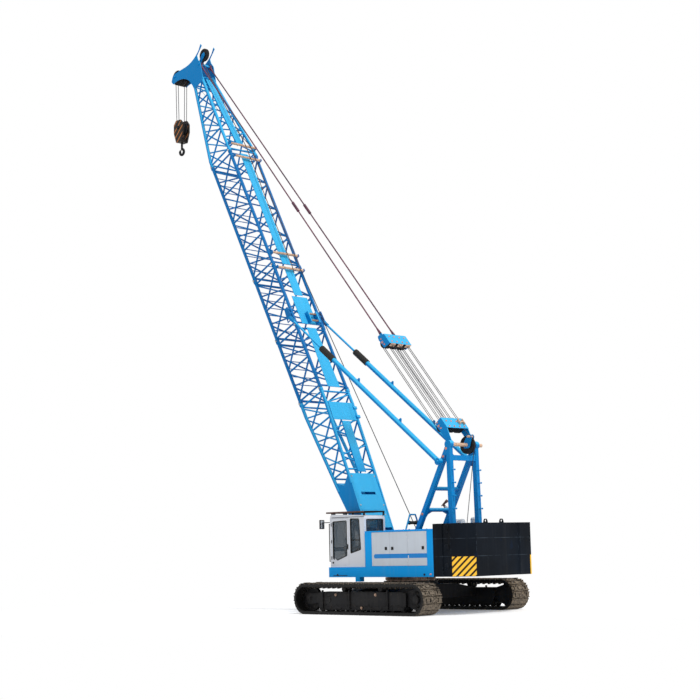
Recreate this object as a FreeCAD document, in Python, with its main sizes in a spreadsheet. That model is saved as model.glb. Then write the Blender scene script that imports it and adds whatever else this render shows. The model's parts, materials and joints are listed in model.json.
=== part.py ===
"""Dynamic compaction crane: tracked undercarriage, slewing upper works and lattice boom.

Millimetres. X points forward along the tracks, Y to the left and Z up.
Everything is drawn from the point on the ground under the slewing axis. The files are
written from the point on the ground under the middle of the overall length.
"""
import FreeCAD
import Part
import math
import os
import re
import Sketcher

from FreeCAD import Placement, Rotation, Vector

doc = FreeCAD.newDocument("compaction_crane")
sheet = doc.addObject("Spreadsheet::Sheet", "sizes")
aliases = []


def size(alias, value, note):
    """Add one driving dimension to the spreadsheet."""
    aliases.append(alias)
    line = str(len(aliases))
    sheet.set("A" + line, note)
    sheet.set("B" + line, str(value))
    sheet.setAlias("B" + line, alias)


# General clearances
size("seat_gap", 0.3, "gap between a moving piece and the face it seats on")
size("run_gap", 6, "gap round a piece that moves")
size("plate_thin", 12, "thin steel plate")
size("plate_mid", 25, "structural steel plate")

# Undercarriage
size("track_gauge", 3880, "distance between track centre lines")
size("shoe_width", 760, "width of the track shoes")
size("wheel_spread", 4300, "distance between sprocket and idler axles")
size("wheel_height", 445, "height of sprocket and idler axles")
size("chain_depth", 90, "thickness of link and shoe together")
size("shoe_pitch", 203, "wanted length of one track shoe")
size("shoe_slot", 34, "gap between the plates of two shoes")
size("shoe_slot_depth", 26, "depth of the gap between two shoes")
size("frame_width", 400, "width of a side frame")
size("roller_radius", 105, "radius of a bottom roller")
size("roller_count", 9, "bottom rollers in one track")
size("carrier_radius", 75, "radius of a top roller")
size("sprocket_teeth", 13, "teeth of a drive sprocket")
size("rim_width", 110, "width of a sprocket or idler rim")
size("hub_radius", 232, "radius of a final drive housing")
size("hub_depth", 330, "length of a final drive housing")
size("body_half_length", 1050, "half length of the carbody centre box")
size("body_half_width", 860, "half width of the carbody centre box")
size("body_bottom", 400, "underside of the carbody")
size("cross_beam_width", 520, "width of a carbody cross beam")
size("cross_beam_place", 780, "distance of a cross beam from the slewing axis")
size("pedestal_radius", 800, "radius of the pedestal under the slewing ring")
size("pedestal_rise", 100, "height of the pedestal above the carbody box")
size("ring_radius", 745, "outer radius of the slewing ring gear")
size("ring_teeth", 60, "teeth of the slewing ring gear")

# Upper works
size("ring_height", 154, "height of the slewing ring with its gap to the deck")
size("deck_depth", 291, "depth of the turntable deck")
size("deck_front", 1820, "front edge of the deck")
size("deck_rear", -2340, "rear edge of the deck")
size("deck_half_width", 1590, "half width of the upper works")
size("house_inner", 740, "distance of a house inner wall from the middle")
size("house_front", 300, "front face of the left house")
size("house_height", 1031, "height of the houses above the deck")
size("house_wall", 30, "thickness of a house wall")
size("door_thickness", 35, "thickness of a house door")
size("door_head", 46, "from the top edge of the house doors to the roof")
size("door_sill", 27, "from the deck to the bottom edge of the house doors")
size("door_seam_front", 30, "front edge of the first door")
size("door_seam_second", -680, "seam between first and second door")
size("door_seam_third", -1385, "seam between second and third door")
size("door_seam_rear", -2110, "rear edge of the third door")
size("engine_rear", -1900, "rear end of the engine block")
size("engine_length", 1300, "length of the engine block")
size("engine_width", 660, "width of the engine block")
size("engine_height", 820, "height of the engine block")
size("muffler_place", -1250, "rear end of the muffler")
size("muffler_length", 520, "length of the muffler")
size("muffler_radius", 105, "radius of the muffler")
size("muffler_rise", 200, "height of the muffler's axis above the house roof")
size("stack_across", 1010, "distance of the muffler and the air cleaner to the right of the middle")
size("tail_radius", 36, "radius of the tail pipe")
size("cleaner_place", -1700, "air cleaner along X")
size("tank_front", 1790, "front face of the right side tank")
size("tank_rear", 420, "rear face of the right side tank")
size("tank_height", 835, "height of the right side tank above the deck")

# Cab
size("cab_rear", 350, "rear face of the cab")
size("cab_front", 1780, "front face of the cab")
size("cab_inner", 665, "inner side face of the cab")
size("cab_outer", 1550, "outer side face of the cab")
size("cab_height", 1555, "height of the cab's front above the deck")
size("cab_round", 110, "radius of the cab's roof edges")
size("window_round", 45, "radius of the window corners")
size("cab_roof_fall", 60, "fall of the cab roof to the rear")
size("cab_wall", 50, "thickness of the cab walls")
size("glass_thickness", 8, "thickness of the window glass")

# Counterweight
size("weight_corner", -3000, "where the chamfer of the counterweight starts")
size("weight_rear", -3600, "rear face of the counterweight")
size("weight_half_width", 1580, "half width of the counterweight")
size("weight_rear_half", 1200, "half width of the rear face")
size("weight_recess_half", 720, "half width of the recess in the rear face")
size("weight_recess_depth", 45, "depth of the recess in the rear face")
size("weight_low_step", 556, "height of the lowest counterweight")
size("weight_mid_step", 490, "height of the middle counterweight")
size("weight_high_step", 420, "height of the highest counterweight")
size("slot_front", -2680, "front edge of the bolt slot in the counterweight's side")
size("slot_rear", -2970, "rear edge of the bolt slot in the counterweight's side")
size("slot_depth", 22, "depth of the bolt slot in the counterweight's side")
size("boss_radius", 62, "radius of a bolt boss in the slot")
size("eye_place", -3240, "lifting eyes of the counterweight along X")
size("eye_spread", 350, "distance of a lifting eye from the middle")
size("eye_height", 60, "height of a lifting eye's bore above the casting")
size("eye_bore_radius", 32, "radius of a lifting eye's bore")

# A-frame and luffing gear
size("frame_half_width", 570, "distance of the A-frame legs from the middle")
size("apex_place", -2170, "place of the A-frame apex along X")
size("apex_rise", 3445, "height of the A-frame apex above the deck")
size("tie_radius", 58, "radius of the A-frame's cross tubes")
size("upper_tie_drop", 1240, "from the apex down to the upper cross tube")
size("lower_tie_drop", 1840, "from the apex down to the lower cross tube")
size("beam_drop", 370, "from the apex down to the middle of the top beam")
size("front_leg_foot", -330, "foot of the A-frame front legs along X")
size("rear_leg_foot", -2230, "foot of the A-frame rear legs along X")
size("leg_size", 140, "side of an A-frame leg")
size("shaft_radius", 48, "radius of the apex shaft")
size("apex_sheave_radius", 265, "radius of the sheave on the apex shaft")
size("luff_sheave_radius", 175, "radius of the luffing sheaves")
size("bail_reach", 713, "from the apex shaft to the axle of the luffing bail")
size("spreader_reach", 4160, "from the apex shaft to the axle of the luffing spreader")
size("pendant_radius", 22, "radius of a pendant rope")

# Winches
size("winch_rise", 390, "height of the winch shafts above the deck")
size("main_winch_place", -150, "main hoist drum along X")
size("second_winch_place", -920, "second hoist drum along X")
size("luff_winch_place", -1660, "luffing drum along X")
size("drum_radius", 225, "radius of a winch drum")
size("flange_radius", 345, "radius of a winch drum's flanges")
size("drum_half_length", 400, "half length of a winch drum between its outer flange faces")

# Boom
size("foot_place", 1157, "boom foot pin along X")
size("foot_rise", 564, "height of the boom foot pin above the deck")
size("boom_angle", 63.7, "angle of the boom above the ground")
size("rung_radius", 15, "radius of the bars across the boom's front face")
size("rungs_in_panel", 4, "bars across the front face in one panel")
size("boom_half_width", 587, "distance of the chords from the middle, across")
size("boom_half_depth", 500, "distance of the chords from the boom axis, in depth")
size("chord_radius", 52, "radius of a chord tube")
size("lacing_radius", 30, "radius of a lacing tube")
size("panel_length", 1180, "length of one lattice panel")
size("foot_length", 5300, "length of the boom foot section")
size("foot_box_length", 2360, "length of the plated box of the boom foot")
size("foot_cheek", 54, "thickness of the boom foot's side plates")
size("window_place", 1650, "start of the rope window in the boom foot's plates, along the boom")
size("window_half", 310, "half width of that rope window")
size("short_panels", 2, "panels in a short insert")
size("long_panels", 4, "panels in the long insert")
size("head_half", 250, "half width of the boom at the head plates")
size("head_lattice", 3560, "length of the head section up to its plates")
size("head_axle_ahead", 950, "from the end of the lattice to the head sheave axle, along the boom")
size("head_reach", 930, "distance of the head sheave axle before the boom axis")
size("head_sheave_radius", 265, "radius of a head sheave")
size("tip_sheave_radius", 225, "radius of the tip sheave")
size("tip_ahead", 780, "from the end of the lattice to the tip sheave, along the boom")
size("tip_across", 90, "distance of the tip sheave to the left of the middle")
size("tip_back", 560, "distance of the tip sheave behind the boom axis")
size("pendant_pin_ahead", 480, "from the end of the lattice to the pendant pins, along the boom")
size("pendant_pin_back", 330, "distance of the pendant pins behind the boom axis")
size("stop_pin_past", 240, "from the joint over the lower insert to the backstop pins")
size("stop_half_width", 745, "distance of the backstops from the middle")
size("stop_drop", 490, "from the apex down to the backstop pins")
size("stop_radius", 75, "radius of a backstop tube")
size("stop_tube_length", 6050, "length of a backstop tube and its sleeve")
size("stop_rod_radius", 34, "radius of a backstop rod")
size("stop_pin_radius", 25, "radius of the pin in a backstop rod's fork")
size("stop_slot_radius", 36, "half width of the long hole of a backstop's pin")
size("stop_slot_length", 101, "travel of the pin in its long hole")
size("stop_plate_reach", 400, "length of the long hole's plate up the chord")
size("spacer_radius", 38, "radius of the spacers behind that plate")
size("fork_length", 165, "from the end of a backstop rod to its pin")
size("fork_half", 44, "half width of a backstop rod's fork")
size("fork_plate", 22, "thickness of the fork's cheeks")
size("fork_round", 58, "radius of the fork's cheeks about the pin")
size("hook_drop", 1830, "from the head sheave axle down to the hook block axle")
size("hook_sheave_radius", 225, "radius of a hook block sheave")
size("hoist_rope_radius", 11, "radius of the hoist rope")

# Places that follow from the sizes above
derived = {
    "body_top": "2 * wheel_height - chain_depth",
    "ring_bottom": "body_top + pedestal_rise",
    "deck_bottom": "ring_bottom + ring_height",
    "deck_top": "deck_bottom + deck_depth",
    "house_top": "deck_top + house_height",
    "door_top": "house_top - door_head",
    "door_bottom": "deck_top + door_sill",
    "tank_top": "deck_top + tank_height",
    "cab_top": "deck_top + cab_height",
    "weight_first": "deck_bottom + weight_low_step",
    "weight_second": "weight_first + weight_mid_step",
    "weight_top": "weight_second + weight_high_step",
    "apex_height": "deck_top + apex_rise",
    "stop_height": "apex_height - stop_drop",
    "winch_height": "deck_top + winch_rise",
    "foot_height": "deck_top + foot_rise",
    "head_base": "foot_length + (2 * short_panels + long_panels) * panel_length",
    "head_start": "head_base + head_lattice",
    "boom_length": "head_start + head_axle_ahead",
    "tip_along": "head_start + tip_ahead",
    "pendant_pin_along": "head_start + pendant_pin_ahead",
    "head_pin_x": "foot_place + pendant_pin_along * cos(boom_angle * 1deg)"
                  " - pendant_pin_back * sin(boom_angle * 1deg)",
    "head_pin_z": "foot_height + pendant_pin_along * sin(boom_angle * 1deg)"
                  " + pendant_pin_back * cos(boom_angle * 1deg)",
    "pull_angle": "atan((head_pin_z - apex_height) / (head_pin_x - apex_place)) / 1deg",
    "pull_length": "sqrt((head_pin_z - apex_height)^2 + (head_pin_x - apex_place)^2)",
    "leg_slope": "(apex_place - front_leg_foot) / (apex_height - deck_top)",
    "stop_foot_x": "front_leg_foot + leg_slope * (stop_height - deck_top)",
    "stop_pin_along": "foot_length + short_panels * panel_length + stop_pin_past",
    "stop_pin_x": "foot_place + stop_pin_along * cos(boom_angle * 1deg)"
                  " - boom_half_depth * sin(boom_angle * 1deg)",
    "stop_pin_z": "foot_height + stop_pin_along * sin(boom_angle * 1deg)"
                  " + boom_half_depth * cos(boom_angle * 1deg)",
    "stop_angle": "atan((stop_pin_z - stop_height) / (stop_pin_x - stop_foot_x)) / 1deg",
    "stop_length": "sqrt((stop_pin_z - stop_height)^2 + (stop_pin_x - stop_foot_x)^2)",
    "hoist_x": "foot_place + boom_length * cos(boom_angle * 1deg)"
               " + head_reach * sin(boom_angle * 1deg)",
    "hoist_z": "foot_height + boom_length * sin(boom_angle * 1deg)"
               " - head_reach * cos(boom_angle * 1deg)",
    "overall_middle": "(weight_rear + hoist_x + head_sheave_radius) / 2",
}
for alias, formula in derived.items():
    size(alias, "=" + formula, "worked out")
doc.recompute()


def val(alias):
    """The number in a cell of the spreadsheet."""
    return float(sheet.get(alias))


def number(text):
    """The present value of an expression."""
    return float(sheet.evalExpression(bound(text)))


def bound(text):
    """An expression in which every alias points to the spreadsheet."""
    def point(match):
        word = match.group(0)
        return "sizes." + word if word in aliases else word
    return re.sub(r"[a-z][a-z_0-9]*", point, str(text))


def bind(obj, name, text):
    """Bind one property of an object to an expression."""
    obj.setExpression(name, bound(text))


def place(obj, spot):
    """Bind the place of an object to three expressions."""
    for axis, text in zip("xyz", spot):
        bind(obj, "Placement.Base." + axis, text)
    return obj


def box(name, low, span):
    """A box from its low corner and its three side lengths."""
    obj = doc.addObject("Part::Box", name)
    for prop, text in zip(("Length", "Width", "Height"), span):
        bind(obj, prop, text)
    return place(obj, low)


TURNS = {
    "x": Rotation(Vector(0, 1, 0), 90),
    "y": Rotation(Vector(1, 0, 0), -90),
    "z": Rotation(),
}


def rod(name, axis, start, radius, length):
    """A round bar along one axis of the frame, from the middle of its low end."""
    obj = doc.addObject("Part::Cylinder", name)
    obj.Placement = Placement(Vector(), TURNS[axis])
    bind(obj, "Radius", radius)
    bind(obj, "Height", length)
    return place(obj, start)


def fuse(name, pieces):
    obj = doc.addObject("Part::MultiFuse", name)
    obj.Shapes = pieces
    return obj


def cut(name, base, tools):
    obj = doc.addObject("Part::Cut", name)
    obj.Base = base
    obj.Tool = tools[0] if len(tools) == 1 else fuse(name + "_tools", tools)
    return obj


def group(name, pieces):
    """Like pieces that don't touch, kept as separate solids."""
    obj = doc.addObject("Part::Compound", name)
    obj.Links = pieces
    return obj


def mirror(name, piece):
    """The same piece on the other side of the middle plane."""
    obj = doc.addObject("Part::Mirroring", name)
    obj.Source = piece
    obj.Normal = Vector(0, 1, 0)
    return obj


def outline(body, name, role, points, offset="0"):
    """A closed sketch on an origin plane of a body, each corner bound to the spreadsheet."""
    sketch = body.newObject("Sketcher::SketchObject", name)
    plane = [f for f in body.Origin.OriginFeatures if f.Role == role][0]
    sketch.AttachmentSupport = [(plane, "")]
    sketch.MapMode = "FlatFace"
    bind(sketch, "AttachmentOffset.Base.z", offset)
    count = len(points)
    spots = [Vector(number(a), number(b), 0) for a, b in points]
    for i in range(count):
        sketch.addGeometry(Part.LineSegment(spots[i], spots[(i + 1) % count]), False)
    add = sketch.addConstraint
    for i in range(count):
        add(Sketcher.Constraint("Coincident", i, 2, (i + 1) % count, 1))
    for i, (a, b) in enumerate(points):
        across = add(Sketcher.Constraint("DistanceX", -1, 1, i, 1, spots[i].x))
        bind(sketch, "Constraints[%d]" % across, a)
        along = add(Sketcher.Constraint("DistanceY", -1, 1, i, 1, spots[i].y))
        bind(sketch, "Constraints[%d]" % along, b)
    return sketch


def new_body(name):
    return doc.addObject("PartDesign::Body", name)


def pad(body, sketch, length):
    """Pad a sketch of a body away from its plane."""
    feature = body.newObject("PartDesign::Pad", sketch.Name + "_pad")
    feature.Profile = sketch
    bind(feature, "Length", length)
    sketch.Visibility = False
    return feature


def slab(name, role, points, low, high):
    """A plate with the given outline, from low to high along the plane's axis."""
    body = new_body(name)
    start = "-(%s)" % high if role == "XZ_Plane" else low
    sketch = outline(body, name + "_outline", role, points, start)
    pad(body, sketch, "(%s) - (%s)" % (high, low))
    return body


def rounded(body, role, radius, keep=None):
    """Round the corners of a slab's outline, or only those that keep picks by their place."""
    doc.recompute()
    base = body.Tip
    through = {"XZ_Plane": Vector(0, 1, 0), "YZ_Plane": Vector(1, 0, 0), "XY_Plane": Vector(0, 0, 1)}[role]
    names = []
    for i, edge in enumerate(base.Shape.Edges):
        line = edge.Vertexes[1].Point - edge.Vertexes[0].Point
        if line.normalize().cross(through).Length < 1e-6 and (keep is None or keep(edge.CenterOfMass)):
            names.append("Edge%d" % (i + 1))
    soft = body.newObject("PartDesign::Fillet", body.Name + "_round")
    soft.Base = (base, names)
    bind(soft, "Radius", radius)
    return body


def turned(name, profile, centre):
    """A piece turned about an axis along Y, from radius and width pairs."""
    body = new_body(name)
    sketch = outline(body, name + "_profile", "XY_Plane", profile)
    spin = body.newObject("PartDesign::Revolution", name + "_turn")
    spin.Profile = sketch
    spin.ReferenceAxis = (sketch, ["V_Axis"])
    spin.Angle = 360
    sketch.Visibility = False
    return place(body, centre)


nodes = []


def node(obj, name):
    """Name a finished sub-part after its file."""
    obj.Label = name
    nodes.append(obj)
    return obj


def shaped(name, shape):
    """A sub-part whose shape is worked out from the sheet's values."""
    obj = doc.addObject("Part::Feature", name)
    obj.Shape = shape
    return obj


# ---------------------------------------------------------------- undercarriage

wheel_x = val("wheel_spread") / 2
outer_radius = val("wheel_height")
inner_radius = outer_radius - val("chain_depth")


def loop_point(along, radius):
    """A point on the track's outline, a distance along it from the front foot."""
    straight = 2 * wheel_x
    bend = math.pi * outer_radius
    along = along % (2 * straight + 2 * bend)
    if along < straight:
        return Vector(wheel_x - along, 0, outer_radius - radius)
    along -= straight
    if along < bend:
        turn = -math.pi / 2 - along / outer_radius
        return Vector(-wheel_x + radius * math.cos(turn), 0, outer_radius + radius * math.sin(turn))
    along -= bend
    if along < straight:
        return Vector(-wheel_x + along, 0, outer_radius + radius)
    turn = math.pi / 2 - (along - straight) / outer_radius
    return Vector(wheel_x + radius * math.cos(turn), 0, outer_radius + radius * math.sin(turn))


def track_shape():
    """One closed track: flat shoes outside with slots between them, a smooth run inside."""
    length = 4 * wheel_x + 2 * math.pi * outer_radius
    shoes = int(round(length / val("shoe_pitch")))
    pitch = length / shoes
    slot = val("shoe_slot")
    floor = outer_radius - val("shoe_slot_depth")
    points = []
    for i in range(shoes):
        start = i * pitch + slot / 2
        finish = (i + 1) * pitch - slot / 2
        points += [loop_point(start, floor), loop_point(start, outer_radius)]
        points += [loop_point(finish, outer_radius), loop_point(finish, floor)]
    outside = Part.Face(Part.makePolygon(points + points[:1]))
    rear, front = Vector(-wheel_x, 0, outer_radius), Vector(wheel_x, 0, outer_radius)
    up = Vector(0, 0, inner_radius)
    back = Vector(-inner_radius, 0, 0)
    ends = [
        Part.Arc(rear - up, rear + back, rear + up).toShape(),
        Part.makeLine(rear + up, front + up),
        Part.Arc(front + up, front - back, front - up).toShape(),
        Part.makeLine(front - up, rear - up),
    ]
    inside = Part.Face(Part.Wire(ends))
    ring = outside.cut(inside)
    low = (val("track_gauge") - val("shoe_width")) / 2
    ring.translate(Vector(0, low, 0))
    return ring.extrude(Vector(0, val("shoe_width"), 0))


left_track = node(shaped("left_track_loop", track_shape()), "left_track")
node(mirror("right_track_loop", left_track), "right_track")

side = "track_gauge / 2"
pitch_radius = "wheel_height - chain_depth - seat_gap"


def sprocket(name):
    """A drive sprocket with scalloped teeth, its final drive housing and bolted cover."""
    body = new_body(name)
    sketch = body.newObject("Sketcher::SketchObject", name + "_disc")
    plane = [f for f in body.Origin.OriginFeatures if f.Role == "XZ_Plane"][0]
    sketch.AttachmentSupport = [(plane, "")]
    sketch.MapMode = "FlatFace"
    sketch.addGeometry(Part.Circle(Vector(), Vector(0, 0, 1), number(pitch_radius)), False)
    sketch.addConstraint(Sketcher.Constraint("Coincident", 0, 3, -1, 1))
    sketch.addConstraint(Sketcher.Constraint("Radius", 0, number(pitch_radius)))
    bind(sketch, "Constraints[1]", pitch_radius)
    pad(body, sketch, "rim_width").Midplane = True
    notch = body.newObject("Sketcher::SketchObject", name + "_notch")
    notch.AttachmentSupport = [(plane, "")]
    notch.MapMode = "FlatFace"
    notch_radius = "pi * (%s) / sprocket_teeth * 0.52" % pitch_radius
    notch.addGeometry(Part.Circle(Vector(number(pitch_radius), 0, 0), Vector(0, 0, 1), 40), False)
    notch.addConstraint(Sketcher.Constraint("PointOnObject", 0, 3, -1))
    notch.addConstraint(Sketcher.Constraint("DistanceX", -1, 1, 0, 3, number(pitch_radius)))
    notch.addConstraint(Sketcher.Constraint("Radius", 0, 40))
    bind(notch, "Constraints[1]", pitch_radius)
    bind(notch, "Constraints[2]", notch_radius)
    doc.recompute()
    pocket = body.newObject("PartDesign::Pocket", name + "_gap")
    pocket.Profile = notch
    pocket.Type = 1
    pocket.Midplane = True
    doc.recompute()
    pattern = body.newObject("PartDesign::PolarPattern", name + "_teeth")
    pattern.Originals = [pocket]
    pattern.Axis = (sketch, ["N_Axis"])
    pattern.Angle = 360
    bind(pattern, "Occurrences", "sprocket_teeth")
    body.Tip = pattern
    return place(body, ("-wheel_spread / 2", side, "wheel_height"))


hub_profile = [
    ("0", "-hub_depth / 2"),
    ("hub_radius", "-hub_depth / 2"),
    ("hub_radius", "hub_depth / 2 - 40"),
    ("hub_radius - 30", "hub_depth / 2"),
    ("hub_radius * 0.55", "hub_depth / 2"),
    ("hub_radius * 0.5", "hub_depth / 2 + 45"),
    ("0", "hub_depth / 2 + 45"),
]
hub_place = ("-wheel_spread / 2", side, "wheel_height")
toothed = sprocket("sprocket")
hub = turned("final_drive", hub_profile, hub_place)
left_drive = fuse("left_drive", [toothed, hub])
node(group("drives", [left_drive, mirror("right_drive", left_drive)]), "drive_sprockets")

idler_profile = [
    ("0", "-rim_width / 2 - 90"),
    ("75", "-rim_width / 2 - 90"),
    ("75", "-rim_width / 2"),
    ("120", "-rim_width / 2"),
    ("150", "-rim_width / 4"),
    ("(%s) - 70" % pitch_radius, "-rim_width / 4"),
    ("(%s) - 55" % pitch_radius, "-rim_width / 2"),
    (pitch_radius, "-rim_width / 2"),
    (pitch_radius, "rim_width / 2"),
    ("(%s) - 55" % pitch_radius, "rim_width / 2"),
    ("(%s) - 70" % pitch_radius, "rim_width / 4"),
    ("150", "rim_width / 4"),
    ("120", "rim_width / 2"),
    ("75", "rim_width / 2"),
    ("75", "rim_width / 2 + 90"),
    ("0", "rim_width / 2 + 90"),
]
left_idler = turned("left_idler", idler_profile, ("wheel_spread / 2", side, "wheel_height"))
node(group("idlers", [left_idler, mirror("right_idler", left_idler)]), "idler_wheels")

roller_profile = [
    ("0", "-210"),
    ("40", "-210"),
    ("40", "-150"),
    ("roller_radius", "-150"),
    ("roller_radius", "-70"),
    ("roller_radius - 28", "-60"),
    ("roller_radius - 28", "60"),
    ("roller_radius", "70"),
    ("roller_radius", "150"),
    ("40", "150"),
    ("40", "210"),
    ("0", "210"),
]
roller_run = "(wheel_spread - 1060)"
rollers = []
for i in range(int(val("roller_count"))):
    along = "-%s / 2 + %s * %d / (roller_count - 1)" % (roller_run, roller_run, i)
    spot = (along, side, "chain_depth + roller_radius + seat_gap")
    rollers.append(turned("bottom_roller_%d" % i, roller_profile, spot))
for i, along in enumerate(("-wheel_spread * 0.17", "wheel_spread * 0.17")):
    top = "2 * wheel_height - chain_depth - carrier_radius - seat_gap"
    start = (along, side + " - 140", top)
    rollers.append(rod("carrier_roller_%d" % i, "y", start, "carrier_radius", "280"))
left_rollers = group("left_rollers", rollers)
node(group("rollers", [left_rollers, mirror("right_rollers", left_rollers)]), "track_rollers")

# Side frame: a deep beam over the rollers, two skirts with the roller shafts,
# and cheeks that carry the idler axle and the final drive
beam_bottom = "chain_depth + 2 * roller_radius + 20"
beam_top = "2 * wheel_height - chain_depth - 2 * carrier_radius - 2 * seat_gap"
beam_end = "(wheel_spread / 2 - wheel_height + chain_depth - 30)"
frame_low = "track_gauge / 2 - frame_width / 2"
frame_high = "track_gauge / 2 + frame_width / 2"
beam_profile = [
    ("-" + beam_end, beam_bottom + " + 60"),
    ("-%s + 60" % beam_end, beam_bottom),
    (beam_end + " - 60", beam_bottom),
    (beam_end, beam_bottom + " + 60"),
    (beam_end, beam_top + " - 110"),
    (beam_end + " - 110", beam_top),
    ("-%s + 110" % beam_end, beam_top),
    ("-" + beam_end, beam_top + " - 110"),
]
beam = slab("frame_beam", "XZ_Plane", beam_profile, frame_low, frame_high)
shaft_height = "chain_depth + roller_radius + seat_gap"
skirt_profile = [
    ("-%s / 2 - 90" % roller_run, shaft_height),
    ("-%s / 2 - 40" % roller_run, shaft_height + " - 60"),
    ("%s / 2 + 40" % roller_run, shaft_height + " - 60"),
    ("%s / 2 + 90" % roller_run, shaft_height),
    ("%s / 2 + 90" % roller_run, beam_bottom + " + 10"),
    ("-%s / 2 - 90" % roller_run, beam_bottom + " + 10"),
]
skirts = []
for i, low in enumerate((frame_low, frame_high + " - plate_mid")):
    skirts.append(slab("skirt_%d" % i, "XZ_Plane", skirt_profile, low, low + " + plate_mid"))
shaft_holes = []
for i in range(int(val("roller_count"))):
    along = "-%s / 2 + %s * %d / (roller_count - 1)" % (roller_run, roller_run, i)
    start = (along, frame_low + " - 5", shaft_height)
    shaft_holes.append(rod("shaft_hole_%d" % i, "y", start, "40 + seat_gap", "frame_width + 10"))


def cheek(name, axle, inner_end, reach, low):
    """A plate of the side frame that reaches an axle, with a clipped round end."""
    return slab(name, "XZ_Plane", [
        (inner_end, beam_bottom + " + 30"),
        ("%s - (%s) * 0.4" % (axle, reach), "wheel_height - abs(%s)" % reach),
        ("%s + (%s) * 0.5" % (axle, reach), "wheel_height - abs(%s)" % reach),
        ("%s + (%s)" % (axle, reach), "wheel_height - abs(%s) * 0.5" % reach),
        ("%s + (%s)" % (axle, reach), "wheel_height + abs(%s) * 0.5" % reach),
        ("%s + (%s) * 0.5" % (axle, reach), "wheel_height + abs(%s)" % reach),
        ("%s - (%s) * 0.4" % (axle, reach), "wheel_height + abs(%s)" % reach),
        (inner_end, beam_top + " - 40"),
    ], low, low + " + plate_mid * 1.6")


# The rear cheek ends between the final drive and the links that run round it
drive_reach = "((hub_radius + wheel_height - chain_depth) / 2 - 8.5)"
cheeks = []
for i, sign in enumerate(("-", "+")):
    near = "rim_width / 2 + 35"
    low = side + " + " + near if sign == "+" else side + " - (" + near + ") - plate_mid * 1.6"
    cheeks.append(cheek("idler_cheek_%d" % i, "wheel_spread / 2", beam_end + " - 150", "150", low))
    cheeks.append(cheek("drive_cheek_%d" % i, "-wheel_spread / 2", "-%s + 150" % beam_end,
                        "-" + drive_reach, low))
axle_low = side + " - frame_width / 2"
axle_holes = [
    rod("idler_hole", "y", ("wheel_spread / 2", axle_low, "wheel_height"), "75 + seat_gap", "frame_width"),
    rod("drive_hole", "y", ("-wheel_spread / 2", axle_low, "wheel_height"), "hub_radius + seat_gap",
        "frame_width"),
]
left_frame = cut("left_frame", fuse("left_frame_plates", [beam] + skirts + cheeks),
                 shaft_holes + axle_holes)
node(group("frames", [left_frame, mirror("right_frame", left_frame)]), "side_frames")

# Carbody: centre box, two cross beams that taper to the side frames, round pedestal
beam_reach = frame_low + " - seat_gap"
cross_profile = [
    ("-(%s)" % beam_reach, "body_bottom"),
    (beam_reach, "body_bottom"),
    (beam_reach, beam_top),
    ("body_half_width", "body_top"),
    ("-body_half_width", "body_top"),
    ("-(%s)" % beam_reach, beam_top),
]
cross_beams = []
for i, sign in enumerate(("", "-")):
    low = "%scross_beam_place - cross_beam_width / 2" % sign
    cross_beams.append(slab("cross_beam_%d" % i, "YZ_Plane", cross_profile, low, low + " + cross_beam_width"))
centre_box = box("centre_box", ("-body_half_length", "-body_half_width", "body_bottom"),
                 ("2 * body_half_length", "2 * body_half_width", "body_top - body_bottom"))
pedestal = rod("pedestal", "z", ("0", "0", "body_top - 5"), "pedestal_radius", "ring_bottom - body_top + 5")
node(fuse("carbody_frame", [centre_box, pedestal] + cross_beams), "carbody")

# Slewing ring: an outer race with its gear teeth, between the pedestal and the deck
ring_profile = [
    ("ring_radius - 125", "0"),
    ("ring_radius - 30", "0"),
    ("ring_radius - 30", "deck_bottom - run_gap - ring_bottom"),
    ("ring_radius - 125", "deck_bottom - run_gap - ring_bottom"),
]
ring = new_body("ring")
ring_sketch = outline(ring, "ring_profile", "XZ_Plane", ring_profile)
ring_turn = ring.newObject("PartDesign::Revolution", "ring_turn")
ring_turn.Profile = ring_sketch
ring_turn.ReferenceAxis = (ring_sketch, ["V_Axis"])
ring_turn.Angle = 360
place(ring, ("0", "0", "ring_bottom + seat_gap"))


def gear_shape():
    """The gear rim of the slewing ring: straight sided teeth round the race."""
    tip = val("ring_radius")
    root = tip - 30
    pitch = 2 * math.pi / val("ring_teeth")
    points = []
    for i in range(int(val("ring_teeth"))):
        for radius, share in ((root, 0.06), (tip, 0.2), (tip, 0.46), (root, 0.6)):
            turn = (i + share) * pitch
            points.append(Vector(radius * math.cos(turn), radius * math.sin(turn), val("ring_bottom") + 40))
    rim = Part.Face(Part.makePolygon(points + points[:1])).extrude(Vector(0, 0, 75))
    bore = Part.makeCylinder(root - 45, 80, Vector(0, 0, val("ring_bottom") + 38))
    return rim.cut(bore)


node(fuse("toothed_ring", [ring, shaped("ring_gear", gear_shape())]), "slewing_ring")

# ------------------------------------------------------------------ upper works

# Deck: a hollow platform on two main girders, with the inner race of the slewing ring
deck_block = box("deck_block", ("deck_rear", "-deck_half_width", "deck_bottom"),
                 ("deck_front - deck_rear", "2 * deck_half_width", "deck_top - deck_bottom"))
bay_depth = "deck_top - deck_bottom - plate_mid + 5"
side_bay = box("side_bay", ("deck_rear + 60", "house_inner", "deck_bottom - 5"),
               ("deck_front - deck_rear - 110", "deck_half_width - plate_mid - house_inner", bay_depth))
front_bay = box("front_bay", ("ring_radius + 120", "-boom_half_width + 60", "deck_bottom - 5"),
                ("deck_front - ring_radius - 180", "2 * boom_half_width - 120", bay_depth))
rear_bay = box("rear_bay", ("deck_rear + 60", "-boom_half_width + 60", "deck_bottom - 5"),
               ("-deck_rear - ring_radius - 180", "2 * boom_half_width - 120", bay_depth))
deck_shell = cut("deck_shell", deck_block,
                 [side_bay, mirror("side_bay_right", side_bay), front_bay, rear_bay])
inner_race = rod("inner_race", "z", ("0", "0", "ring_bottom + seat_gap"), "ring_radius - 135",
                 "deck_bottom - ring_bottom")
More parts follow.
